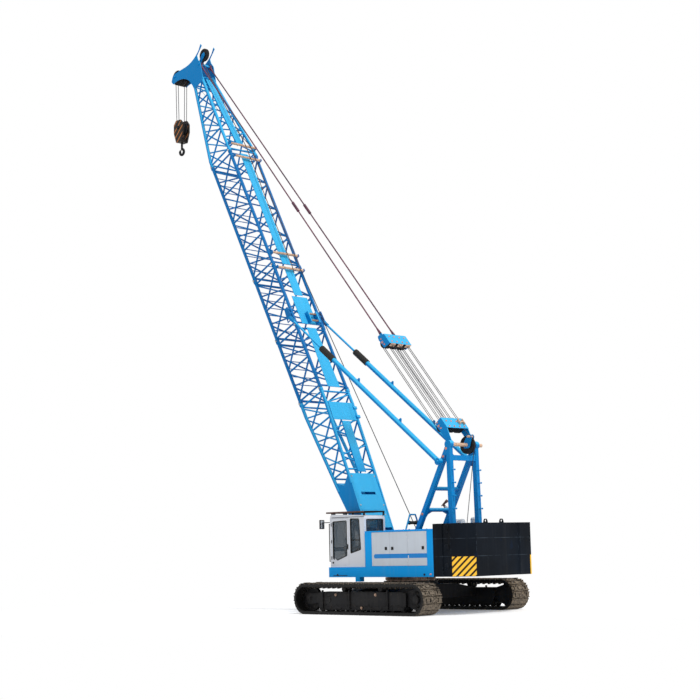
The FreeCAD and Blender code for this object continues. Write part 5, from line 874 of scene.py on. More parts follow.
class CRANE_OT_tracks(bpy.types.Operator):
    """Add the bars, pads and bolts of the track shoes"""
    bl_idname = "crane.tracks"
    bl_label = "Track treads"

    def execute(self, context):
        sizes = context.scene.crane_sizes
        pitch = (4 * WHEEL_REACH + math.tau * WHEEL_RADIUS) / sizes.shoes
        rise, foot = sizes.grouser, -0.004
        # shoes that face the ground stay bare, because bars would stand below it
        grounded = -0.35
        for side, sign in SIDES.items():
            bars, heads, links = bmesh.new(), bmesh.new(), bmesh.new()
            for shoe in range(sizes.shoes):
                (x, z), (out_x, out_z) = on_track((shoe + 0.5) * pitch)
                if out_z < grounded:
                    continue
                # frame of the shoe: X against the run, Y across, Z outwards
                turn = Matrix(((out_z, 0, out_x), (0, 1, 0), (-out_x, 0, out_z))).to_4x4()
                place = Matrix.Translation(at(x, sign * TRACK_SIDE, z)) @ turn
                for low, high in ((-0.37, -0.13), (0.13, 0.37)):
                    block(bars, (-0.080, low, foot), (-0.058, high, rise), place)
                    block(bars, (0.058, low, foot), (0.080, high, rise), place)
                    middle = (low + high) / 2
                    block(bars, (-0.060, middle - 0.012, foot), (0.060, middle + 0.012, rise * 0.8), place)
                block(bars, (-0.045, -0.10, foot), (0.045, 0.10, rise * 0.5), place)
                # chain links under the shoe, one pair to each side of the rollers
                for across in (-0.135, 0.135):
                    for first, last, inner in ((-0.088, -0.022, -0.150), (0.016, 0.070, -0.128)):
                        block(links, (first, across - 0.020, inner), (last, across + 0.020, -0.088), place)
                for across in (-0.085, 0.085):
                    for along in (-0.026, 0.026):
                        bolt(heads, place @ Vector((along, across, rise * 0.5)), place.to_3x3() @ UP,
                             0.022, washer=False)
            for title, bm in (("treads", bars), ("bolts", heads), ("links", links)):
                finish_piece(f"{side}_track_{title}", bm, "undercarriage", "track")
        return {"FINISHED"}


class CRANE_OT_chassis(bpy.types.Operator):
    """Add the covers, ribs, plugs and bolt circles of the side frames and the carbody"""
    bl_idname = "crane.chassis"
    bl_label = "Side frames"

    def execute(self, context):
        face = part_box("side_frames")[1].y
        hub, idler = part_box("drive_sprockets")[1].y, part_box("idler_wheels")[1].y
        plugs, bm = bmesh.new(), bmesh.new()
        for sign in (1, -1):
            out = sign * LEFT

            def outside(x, z, lift=0.0):
                return at(x, sign * (face + lift), z)

            for low, high, lift in ((-1.02, 0.34, 0.012), (0.50, 1.46, 0.010), (-1.78, -1.16, 0.010)):
                side_block(bm, sign, (low, face - 0.004, 0.24), (high, face + lift, 0.64), 0.006)
                for x in (low + 0.06, (low + high) / 2, high - 0.06):
                    for z in (0.28, 0.60):
                        bolt(bm, outside(x, z, lift), out, 0.026)
            for x in (-1.09, 0.42, 1.52):
                side_block(bm, sign, (x - 0.022, face - 0.004, 0.16), (x + 0.022, face + 0.045, 0.70), 0.004)
            # grease plugs, and the adjuster's round cover
            for x, z in ((-0.62, 0.57), (0.98, 0.57), (-0.06, 0.20)):
                rod(plugs, outside(x, z, 0.006), outside(x, z, 0.026), 0.042, 16)
                bolt(plugs, outside(x, z, 0.024), out, 0.034, washer=False)
            rod(bm, outside(1.30, 0.44, 0.008), outside(1.30, 0.44, 0.022), 0.10, 24)
            bolt_circle(bm, outside(1.30, 0.44, 0.022), 0.08, 8, out, 0.016)
            # final drive and idler caps
            for x, reach_out, radius, count, across in ((-WHEEL_REACH, hub, 0.185, 14, 0.028),
                                                        (WHEEL_REACH, idler, 0.075, 6, 0.020)):
                middle = at(x, sign * reach_out, WHEEL_RADIUS)
                cap = [(-0.002, CENTRE), (0.016, CENTRE), (0.016, radius * 0.55), (0.010, radius * 0.60),
                       (-0.002, radius * 0.60)]
                turned(bm, [(sign * along, wide) for along, wide in cap], middle, 24)
                bolt_circle(bm, middle, radius, count, out, across, turned_by=0.5)
        # bolts of the slewing ring on the carbody
        ring_bolts, ring_radius, ring_top = 36, 0.775, 0.9
        for step in range(ring_bolts):
            turn = math.tau * step / ring_bolts
            bolt(bm, at(ring_radius * math.cos(turn), ring_radius * math.sin(turn), ring_top), UP, 0.028,
                 washer=False)
        finish_piece("side_frame_fittings", bm, "undercarriage", "chassis")
        finish_piece("side_frame_plugs", plugs, "undercarriage", "steel")
        return {"FINISHED"}


# ------------------------------------------------------------------------ ropes

def wave_turns(low, high, pitch, radius, rise):
    """The outline of rope wound side by side: one round hump for each turn."""
    turns = round((high - low) / pitch)
    step = (high - low) / turns
    spots = [(low, radius)]
    for turn in range(turns):
        spots += [(low + (turn + share) * step, radius + rise * math.sin(math.pi * share) ** 0.6)
                  for share in (0.17, 0.5, 0.83)]
        spots.append((low + (turn + 1) * step, radius))
    return spots


class CRANE_OT_drum_ropes(bpy.types.Operator):
    """Wind the ropes on the three winch drums"""
    bl_idname = "crane.drum_ropes"
    bl_label = "Drum ropes"

    def execute(self, context):
        sizes = context.scene.crane_sizes
        end, barrel = 0.372, 0.225
        for title, diameter, layers in (("main", sizes.hoist_rope, 2.4), ("second", sizes.hoist_rope, 2.0),
                                        ("luffing", sizes.luff_rope, 2.6)):
            bm = bmesh.new()
            outer = barrel + diameter * (layers - 0.65)
            outline = wave_turns(-end, end, diameter * 1.06, outer, diameter * 0.5)
            foot = barrel + 0.001
            turned(bm, [(-end, foot)] + outline + [(end, foot)], pin(f"{title}_winch_spin"), 40)
            finish_piece(f"{title}_drum_rope", bm, f"{title}_winch_drum", "wound")
        return {"FINISHED"}


class CRANE_OT_falls(bpy.types.Operator):
    """String the luffing falls between the bail and the spreader, and lead their rope to its drum"""
    bl_idname = "crane.falls"
    bl_label = "Luffing falls"

    def execute(self, context):
        sizes = context.scene.crane_sizes
        # each half set is two thirds of the falls and slides in the other when the boom moves;
        # the lower one is a little thinner, so that it lies inside
        for name, body, low, high, share in (("bail_falls", "luffing_bail", BAIL_AXLE, 3.02, 0.86),
                                             ("spreader_falls", "boom", 1.85, SPREADER_AXLE, 1.0)):
            runs = [[pull @ Vector((low, across, back)), pull @ Vector((high, across, back))]
                    for across in (-0.37, -0.29, -0.04, 0.04, 0.29, 0.37) for back in (-0.163, 0.163)]
            rope(name, runs, sizes.luff_rope * share, body, "rope")
        # over the sheave on the apex shaft, down its rear side to the luffing drum
        across, radius = -0.25, 0.252
        wheel, drum = pin("apex_sheave_spin"), pin("luffing_winch_spin")
        first = pull @ Vector((BAIL_AXLE - 0.1, across, 0.17))
        foot = drum + Vector((-0.262, across, 0.05))
        top, last = touching(first, wheel, radius, 1), touching(foot, wheel, radius, -1) % 360
        run = [first] + arc(wheel, radius, top, last) + [foot]
        rope("luffing_lead", [run], sizes.luff_rope, "upper", "rope")
        return {"FINISHED"}


class CRANE_OT_hoist_ropes(bpy.types.Operator):
    """Lead the two hoist ropes over the boom's rollers to its head"""
    bl_idname = "crane.hoist_ropes"
    bl_label = "Hoist ropes"

    def execute(self, context):
        thick = context.scene.crane_sizes.hoist_rope
        over = GUIDE_BACK + 0.038 + thick / 2

        def on_boom(along, across, back=over):
            return boom @ Vector((along, across, back))

        def round_wheel(spots, across):
            return [Vector((spot.x, across, spot.z)) for spot in spots]

        # main rope: from the rear of its drum through the hoop to the lowest roller
        drum = pin("main_winch_spin") + Vector((-0.10, -0.30, 0.262))
        meet = on_boom(GUIDES[0], -0.40)
        run = [drum.lerp(meet, step / 24) for step in range(25)]
        lead = rope("hoist_rope_lead", [run], thick, None, "rope")
        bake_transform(lead)
        # up the rear face and over one of the head sheaves to the hook block's falls
        across, radius = -0.05, 0.250
        wheel = on_boom(HEAD_AXLE_ALONG, across, HEAD_AXLE_BACK)
        last = on_boom(GUIDES[3], -0.30)
        main = [meet, on_boom(GUIDES[1], -0.40), on_boom(GUIDES[2], -0.31), last]
        main += round_wheel(arc(wheel, radius, touching(last, wheel, radius, -1), 0), across)
        # tip rope: up the middle of the rear face and over the tip sheave
        across, radius = 0.09, 0.215
        tip = on_boom(19.08, across, 0.56)
        last = on_boom(GUIDES[3], -0.08)
        second = [on_boom(GUIDES[0] - 0.18, -0.06, over - 0.02), on_boom(GUIDES[0], -0.06),
                  on_boom(GUIDES[1], -0.06), on_boom(GUIDES[2], -0.08), last]
        second += round_wheel(arc(tip, radius, touching(last, tip, radius, 1), -10), across)
        rope("hoist_ropes_on_boom", [main, second], thick, "boom", "wound_rope")
        return {"FINISHED"}


# ------------------------------------------------------------------------ houses and deck

class CRANE_OT_doors(bpy.types.Operator):
    """Add latches, hinges and louvres to the house doors"""
    bl_idname = "crane.doors"
    bl_label = "House doors"

    def execute(self, context):
        tall, height = context.scene.crane_sizes.latch, 1.865
        outline = [(-0.042, -tall / 2), (0.042, -tall / 2), (0.042, tall / 2), (-0.042, tall / 2)]
        # both faces of a pan's floor, out from the skin
        floors = {"left": (-0.004, 0.004), "right": (0.010, 0.004)}
        fin, fins, fin_foot, fin_pitch = [(-0.004, 0.0), (-0.004, 0.030), (0.016, 0.004)], 9, 1.83, 0.050
        for side, sign in SIDES.items():
            # middle and rear doors open back to back, so the rear ones have hinges at other heights
            for title, x, shift in (("front", -0.54, 0.0), ("middle", -0.79, 0.0), ("rear", -1.97, 0.12)):
                body = f"{side}_{title}_door"
                low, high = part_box(body)
                skin = max(abs(low.y), abs(high.y))
                # square latch pan with a raised rim, a paddle and its lock
                bm = bmesh.new()
                place = Matrix.Translation(at(x, sign * skin, height))
                ring_plate(bm, outline, 0.010, sign * 0.012, place, 0.012)
                first, last = (skin + depth for depth in floors[side])
                side_block(bm, sign, (x - 0.036, first, height - tall * 0.43),
                           (x + 0.036, last, height + tall * 0.43))
                rods(bm, ((x, sign * skin, 1.887), (x, sign * (skin + 0.016), 1.887), 0.014, 16))
                side_block(bm, sign, (x - 0.018, skin, 1.832), (x + 0.018, skin + 0.011, 1.870), 0.002)
                finish_piece(f"{body}_latch", bm, body, "plastic")
                # flush hinge knuckles and, on the right, rows of louvres
                bm = bmesh.new()
                in_front = pin(f"{body}_hinge").x > (low.x + high.x) / 2
                edge = (high.x - 0.02 if in_front else low.x + 0.02) - slew.x
                for z in (1.50 + shift, 2.20 - shift):
                    axis = sign * (skin - 0.0067)
                    rods(bm, ((edge, axis, z - 0.045), (edge, axis, z + 0.045), 0.009, 12))
                    side_block(bm, sign, (edge - 0.016, skin - 0.002, z - 0.04),
                               (edge + 0.016, skin + 0.0012, z + 0.04))
                if side == "right" and title != "front":
                    across = Matrix.Rotation(-math.pi / 2, 4, "Z")
                    for row in range(fins):
                        place = Matrix.Translation((low.x + 0.10, -skin, fin_foot + row * fin_pitch)) @ across
                        plate(bm, fin, high.x - low.x - 0.20, place)
                finish_piece(f"{body}_hinges", bm, body, "cab")
        return {"FINISHED"}


class CRANE_OT_houses(bpy.types.Operator):
    """Add gutters, roof hatches, reflectors and treads to the houses, the tank and the deck"""
    bl_idname = "crane.houses"
    bl_label = "House and deck trim"

    def execute(self, context):
        blue, dark, lamps = bmesh.new(), bmesh.new(), bmesh.new()
        hatches = {1: (-1.62, -0.72), -1: (-0.72,)}
        for sign in (1, -1):
            # gutter over the doors
            side_block(blue, sign, (-2.335, 1.585, 2.352), (0.295, 1.604, 2.372), 0.003)
            # roof hatches with their bolts
            for x in hatches[sign]:
                side_block(blue, sign, (x - 0.40, 0.84, HOUSE_TOP - 0.003),
                           (x + 0.36, 1.46, HOUSE_TOP + 0.014), 0.005)
                for along in (x - 0.36, x + 0.32):
                    for across in (0.88, 1.15, 1.42):
                        bolt(dark, at(along, sign * across, HOUSE_TOP + 0.014), UP, 0.018)
            # tie down points and a reflector on the deck's band, and a tread strip ahead of the house
            for x in (-2.0, 1.45):
                rods(dark, ((x, sign * 1.588, 1.12), (x, sign * 1.606, 1.12), 0.030, 20))
                bolt(dark, at(x, sign * 1.604, 1.12), sign * LEFT, 0.030, washer=False)
            side_block(lamps, sign, (-2.262, 1.588, 1.105), (-2.205, 1.600, 1.150), 0.004)
            side_block(dark, sign, (1.05, 1.588, 1.095), (1.62, 1.600, 1.112), 0.002)
        # tank: filler cap, two steps and bolts
        rods(dark, ((1.10, -1.18, 2.178), (1.10, -1.18, 2.228), 0.062, 28),
             ((1.10, -1.18, 2.226), (1.10, -1.18, 2.246), 0.050, 28, 0.044))
        for z in (1.55, 1.85):
            rods(dark, ((0.62, -1.592, z), (0.62, -1.640, z), 0.010),
                 ((0.98, -1.592, z), (0.98, -1.640, z), 0.010), ((0.62, -1.636, z), (0.98, -1.636, z), 0.012))
        for x in (0.47, 1.10, 1.70):
            for z in (1.40, 1.70):
                bolt(dark, at(x, -1.59, z), -LEFT, 0.020)
        # non slip matting between the cab and the tank
        blocks(dark, ((0.90, -0.72, DECK_TOP - 0.002), (1.76, 0.60, DECK_TOP + 0.006), 0.002))
        for row in range(10):
            for column in range(14):
                x, y = 0.95 + row * 0.085, -0.68 + column * 0.092
                blocks(dark, ((x, y, DECK_TOP + 0.004), (x + 0.03, y + 0.04, DECK_TOP + 0.011), 0.0))
        finish_piece("house_trim", blue, "upper", "body")
        finish_piece("deck_fittings", dark, "upper", "plastic")
        finish_piece("side_reflectors", lamps, "upper", "orange")
        return {"FINISHED"}


class CRANE_OT_winches(bpy.types.Operator):
    """Add motors, brakes and bolts to the winches, and the roller of the rope hoop"""
    bl_idname = "crane.winches"
    bl_label = "Winch fittings"

    def execute(self, context):
        # turned shapes: distance from the middle of the drum and radius
        brake = [(0.436, CENTRE), (0.436, 0.150), (0.475, 0.150), (0.490, 0.138), (0.56, 0.132),
                 (0.575, 0.110), (0.575, CENTRE)]
        motor = [(-0.436, CENTRE), (-0.436, 0.170), (-0.480, 0.170), (-0.495, 0.120), (-0.640, 0.115),
                 (-0.655, 0.070), (-0.700, 0.068), (-0.705, CENTRE)]
        roller = [(-0.16, 0.043), (-0.16, 0.060), (-0.13, 0.060), (-0.11, 0.048), (0.11, 0.048),
                  (0.13, 0.060), (0.16, 0.060), (0.16, 0.043)]
        blue, bright = bmesh.new(), bmesh.new()
        for title in ("main", "second", "luffing"):
            axle = pin(f"{title}_winch_spin")
            turned(blue, brake, axle, 28)
            turned(blue, motor, axle, 28)
            bolt_circle(bright, axle + 0.475 * LEFT, 0.132, 10, LEFT, 0.016)
            bolt_circle(bright, axle - 0.480 * LEFT, 0.150, 10, -LEFT, 0.016)
            for sign in (1, -1):
                for along in (-0.21, 0.21):
                    bolt(bright, axle + Vector((along, sign * 0.437, -0.33)), sign * LEFT, 0.026)
        finish_piece("winch_drives", blue, "upper", "body")
        finish_piece("winch_bolts", bright, "upper", "zinc")
        bm = bmesh.new()
        turned(bm, roller, at(-0.15, 0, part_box("rope_hoop")[1].z - 0.264), 28)
        finish_piece("hoop_roller", bm, "upper", "sheave")
        return {"FINISHED"}


# ------------------------------------------------------------------------ cab

def sideways(x):
    """A frame at a distance ahead whose X runs to the left and whose Y runs to the rear."""
    return Matrix.Translation(at(x, 0, 0)) @ Matrix.Rotation(math.pi / 2, 4, "Z")


def upright(y):
    """A frame at a distance to the left whose X runs ahead, from the slewing axis."""
    return Matrix.Translation(at(0, y, 0))


class CRANE_OT_cab(bpy.types.Operator):
    """Add seals, rails, wiper, lamps and controls to the cab"""
    bl_idname = "crane.cab"
    bl_label = "Cab trim"

    def execute(self, context):
        # rubber round the panes, and the sliding sash's bar and catch in the rear side window
        bm = bmesh.new()
        left, inner, front, rear = upright(1.500), upright(0.6635), sideways(1.784), sideways(0.402)
        for place, width, thick, outline in (
                (left, 0.026, 0.054, [(0.50, 1.845), (0.94, 1.735), (0.94, 2.77), (0.555, 2.755)]),
                (inner, 0.026, 0.0515, [(0.60, 1.965), (1.65, 1.825), (1.65, 2.75), (0.60, 2.73)]),
                (front, 0.028, 0.054, [(0.735, 1.905), (1.48, 1.905), (1.48, 2.75), (0.735, 2.75)]),
                (front, 0.028, 0.054, [(0.735, 1.475), (1.48, 1.475), (1.48, 1.845), (0.735, 1.845)]),
                (rear, 0.026, 0.054, [(0.745, 2.045), (1.47, 2.045), (1.47, 2.74), (0.745, 2.74)])):
            ring_plate(bm, outline, width, thick, place)
        blocks(bm, ((0.52, 1.512, 2.12), (0.93, 1.536, 2.145), 0.003),
               ((0.88, 1.530, 2.15), (0.92, 1.548, 2.22), 0.004))
        finish_piece("cab_window_seals", bm, "upper", "rubber")
        bm = bmesh.new()
        pane = [(1.072, 1.675), (1.50, 1.535), (1.678, 1.585), (1.678, 2.695), (1.072, 2.715)]
        ring_plate(bm, pane, 0.026, 0.052, upright(1.501))
        finish_piece("cab_door_seal", bm, "cab_door", "rubber")

        # door handle in its pan, hinge knuckles, and a strap at the window's corner
        bm = bmesh.new()
        blocks(bm, ((1.030, 1.546, 1.86), (1.062, 1.556, 2.02), 0.004))
        rods(bm, ((1.046, 1.574, 1.88), (1.046, 1.574, 2.00), 0.009),
             ((1.662, 1.548, 1.480), (1.662, 1.566, 1.480), 0.030, 24),
             *(((1.046, 1.550, z), (1.046, 1.576, z), 0.008) for z in (1.885, 1.995)),
             *(((1.722, 1.556, z - 0.05), (1.722, 1.556, z + 0.05), 0.012) for z in (1.62, 2.10, 2.60)))
        finish_piece("cab_door_handle", bm, "cab_door", "plastic")
        bm = bmesh.new()
        rods(bm, ((1.662, 1.546, 1.480), (1.662, 1.558, 1.480), 0.046, 28),
             ((1.585, 1.560, 1.585), (1.505, 1.560, 1.545), 0.011),
             ((1.585, 1.546, 1.585), (1.585, 1.564, 1.585), 0.011),
             ((1.505, 1.546, 1.545), (1.505, 1.564, 1.545), 0.011))
        finish_piece("cab_door_strap", bm, "cab_door", "cab")

        # rails at the front corners, wiper, drip rail, two work lamps and a round cover at the rear
        lamps = (0.86, 1.36)
        bm = bmesh.new()
        for y in (0.700, 1.515):
            rods(bm, ((1.775, y, 1.52), (1.845, y, 1.52), 0.012), ((1.775, y, 2.62), (1.845, y, 2.62), 0.012),
                 ((1.845, y, 1.508), (1.845, y, 2.632), 0.014))
        rods(bm, ((1.790, 1.12, 2.80), (1.806, 1.12, 2.80), 0.030, 20),
             ((1.806, 1.12, 2.80), (1.798, 1.28, 2.36), 0.007),
             ((1.794, 1.275, 2.10), (1.794, 1.285, 2.62), 0.009),
             ((0.345, 1.20, 1.60), (0.362, 1.20, 1.60), 0.05, 20))
        blocks(bm, ((0.355, 1.546, 2.800), (1.700, 1.562, 2.812), 0.003),
               *(((1.79, y - 0.07, 2.835), (1.85, y + 0.07, 2.935), 0.012) for y in lamps))
        finish_piece("cab_rails", bm, "upper", "plastic")
        bm = bmesh.new()
        blocks(bm, *(((1.848, y - 0.058, 2.846), (1.856, y + 0.058, 2.924), 0.003) for y in lamps))
        finish_piece("cab_lamps", bm, "upper", "lens")
        # rusty outer edge of the roof guard
        bm = bmesh.new()
        blocks(bm, ((0.345, 1.553, 2.934), (1.925, 1.566, 2.972), 0.002))
        finish_piece("roof_guard_edge", bm, "upper", "rusty")
        # mirror glass in its rim
        bm = bmesh.new()
        blocks(bm, ((1.998, 1.585, 2.50), (2.003, 1.725, 2.73), 0.002))
        finish_piece("cab_mirror_glass", bm, "upper", "mirror")
        bm = bmesh.new()
        outline = [(1.572, 2.482), (1.738, 2.482), (1.738, 2.748), (1.572, 2.748)]
        ring_plate(bm, outline, 0.014, 0.010, sideways(2.004), 0.03)
        finish_piece("cab_mirror_rim", bm, "upper", "plastic")

        # levers, display, dash and pedals
        bm = bmesh.new()
        for y in (0.79, 1.395):
            rods(bm, ((1.24, y, 1.95), (1.27, y, 2.12), 0.010),
                 ((1.268, y, 2.11), (1.280, y, 2.19), 0.022, 14, 0.028),
                 ((1.10, y, 1.97), (1.10, y, 2.01), 0.05, 18, 0.02))
        for y in (1.02, 1.18):
            blocks(bm, ((1.52, y - 0.04, 1.42), (1.66, y + 0.04, 1.44), 0.005))
            rods(bm, ((1.50, y, 1.43), (1.42, y, 1.86), 0.011), ((1.42, y, 1.85), (1.41, y, 1.91), 0.02, 14))
        blocks(bm, ((1.45, 0.74, 1.41), (1.70, 0.92, 1.98), 0.02),
               ((1.50, 0.76, 2.02), (1.53, 0.98, 2.19), 0.008),
               ((0.42, 0.74, 1.41), (0.64, 1.47, 1.95), 0.03))
        rods(bm, ((1.54, 0.86, 1.95), (1.52, 0.87, 2.06), 0.012))
        finish_piece("cab_controls", bm, "upper", "plastic")
        # seat: stitched channels over the cushions, and a head rest
        bm, middle, pitch, lean = bmesh.new(), 1.1075, 0.105, 0.0183
        blocks(bm, *(((0.83 + row * pitch, middle - 0.20, 1.79),
                      (0.925 + row * pitch, middle + 0.20, 1.845), 0.018) for row in range(4)),
               *(((0.80 - row * lean, middle - 0.19, 1.86 + row * pitch),
                  (0.85 - row * lean, middle + 0.19, 1.955 + row * pitch), 0.018) for row in range(5)),
               ((0.68, middle - 0.13, 2.42), (0.76, middle + 0.13, 2.58), 0.03))
        finish_piece("seat_channels", bm, "upper", "seat", edge=0.006)
        return {"FINISHED"}


# ------------------------------------------------------------------------ counterweight

def chamfer(sign):
    """A frame on a chamfer of the counterweight: X to the rear, Y outwards, Z up."""
    way = (WEIGHT_TAIL - WEIGHT_CORNER).normalized()
    axes = Matrix(((way.x, sign * way.y, 0), (way.y, -sign * way.x, 0), UP)).transposed()
    return Matrix.Translation(at(WEIGHT_CORNER.x, sign * WEIGHT_CORNER.y, 0)) @ axes.to_4x4()


class CRANE_OT_weight(bpy.types.Operator):
    """Add the hazard panels and the boss covers of the counterweight"""
    bl_idname = "crane.weight"
    bl_label = "Counterweight trim"

    def execute(self, context):
        foot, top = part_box("counterweight")[0].z + 0.012, 1.602
        for side, sign in SIDES.items():
            bm = bmesh.new()
            plate(bm, [(0.02, foot), (0.695, foot), (0.695, top), (0.02, top)], 0.004, chamfer(sign))
            finish_piece(f"{side}_hazard_panel", bm, "upper", f"hazard_{side}")
        # domed covers over the bosses in the side slots
        dome = [(0.0, 0.088), (0.010, 0.086), (0.026, 0.062), (0.034, 0.030), (0.036, CENTRE)]
        bm = bmesh.new()
        for sign in (1, -1):
            for z in (1.34, 1.86, 2.42):
                turned(bm, [(sign * out, radius) for out, radius in dome], at(-2.825, sign * 1.562, z), 28)
        finish_piece("weight_boss_covers", bm, "upper", "weight")
        return {"FINISHED"}


# ------------------------------------------------------------------------ A-frame, luffing gear

class CRANE_OT_a_frame(bpy.types.Operator):
    """Add pins, rungs, the sheave yoke and shaft sleeves to the A-frame, and trim to the luffing gear"""
    bl_idname = "crane.a_frame"
    bl_label = "A-frame trim"

    def execute(self, context):
        apex = pin("bail_swing")
        pink, blue, tan = bmesh.new(), bmesh.new(), bmesh.new()
        front, rear = at(-0.33, 0, DECK_TOP), at(-2.23, 0, DECK_TOP)
        for sign in (1, -1):
            for leg, shares in ((front, (0.965, 0.90, 0.055, 0.43)), (rear, (0.17, 0.205, 0.05))):
                for share in shares:
                    bolt(pink, leg.lerp(apex, share) + sign * 0.642 * LEFT, sign * LEFT, 0.046)
                # foot pin of the leg
                rod(pink, *(leg + Vector((0, sign * across, 0.10)) for across in (0.478, 0.668)), 0.030, 16)
            # rungs up the rear legs, which lean 60 mm ahead over their height
            y = sign * 0.57
            for z in (2.95, 3.32, 3.69, 4.06):
                x = rear.x + 0.06 * (z - DECK_TOP) / (apex.z - DECK_TOP) - 0.070
                rod(blue, (x, y, z), (x - 0.10, y, z), 0.016)
                rod(blue, (x - 0.094, y, z - 0.002), (x - 0.112, y, z - 0.002), 0.026, 14)
        # sleeves on the apex shaft
        for low, high in ((-0.195, 0.488), (-0.495, -0.318), (-0.852, -0.655)):
            turned(tan, [(low, 0.046), (low, 0.054), (high, 0.054), (high, 0.046)], apex, 24)
        # yoke of the apex sheave with its guard roller
        wheel = pin("apex_sheave_spin")
        cheek = [(-0.11, -0.10), (0.10, -0.10), (0.10, 0.07), (-0.06, 0.30), (-0.20, 0.30), (-0.20, 0.16)]
        for low in (-0.062, 0.048):
            plate(blue, cheek, 0.014, Matrix.Translation(wheel + low * LEFT), 0.05)
        turned(tan, [(-0.11, CENTRE), (-0.11, 0.034), (0.16, 0.034), (0.16, CENTRE)],
               wheel + Vector((-0.14, 0, 0.235)), 20)
        rod(tan, wheel + Vector((-0.05, -0.075, 0)), wheel + Vector((-0.05, -0.11, 0)), 0.022)
        finish_piece("a_frame_pins", pink, "upper", "primer")
        finish_piece("a_frame_rungs", blue, "upper", "boom")
        finish_piece("apex_sleeves", tan, "upper", "sleeve")

        # bail and spreader: bolts of the covers and the cheeks, and the covers' lips
        cover, over = 0.211, pull.to_3x3() @ UP
        for title, body, middle, bolts, edge in (("bail", "luffing_bail", BAIL_AXLE, (-0.18, 0.02), 0.155),
                                                 ("spreader", "boom", SPREADER_AXLE, (-0.14, 0.06), -0.245)):
            heads, lip = bmesh.new(), bmesh.new()
            for along in bolts:
                for across in (-0.33, -0.12, 0.12, 0.33):
                    bolt(heads, pull @ Vector((middle + along, across, cover)), over, 0.034)
            for sign in (1, -1):
                for along, back, size in ((-0.10, 0.02, 0.03), (0.0, 0.0, 0.05), (0.12, 0.02, 0.03)):
                    bolt(heads, pull @ Vector((middle + along, sign * 0.484, back)), sign * LEFT, size)
            edge += middle
            for across in (-0.33, 0.0, 0.33):
                block(lip, (edge - 0.006, across - 0.105, 0.10), (edge + 0.010, across + 0.105, 0.215), pull,
                      0.004)
            if title == "bail":
                # bracket and pin of the falls' fixed end
                for across in (-0.36, -0.18):
                    block(lip, (middle - 0.12, across - 0.008, 0.205), (middle + 0.08, across + 0.008, 0.29),
                          pull, 0.006)
                ends = (pull @ Vector((middle - 0.02, across, 0.25)) for across in (-0.40, -0.14))
                rod(lip, *ends, 0.020, 16)
            finish_piece(f"{title}_bolts", heads, body, "primer")
            finish_piece(f"{title}_lips", lip, body, "sleeve")
        return {"FINISHED"}


# ------------------------------------------------------------------------ boom

def cross_bar(bm, spot, half, radius, sides):
    """A round bar through a place on the boom, half its length to each side."""
    rod(bm, boom @ (spot - half), boom @ (spot + half), radius, sides)


def foot_depth(along):
    """Half the depth of the boom's tapered foot."""
    return 0.5 * (0.28 + 0.15 * along)


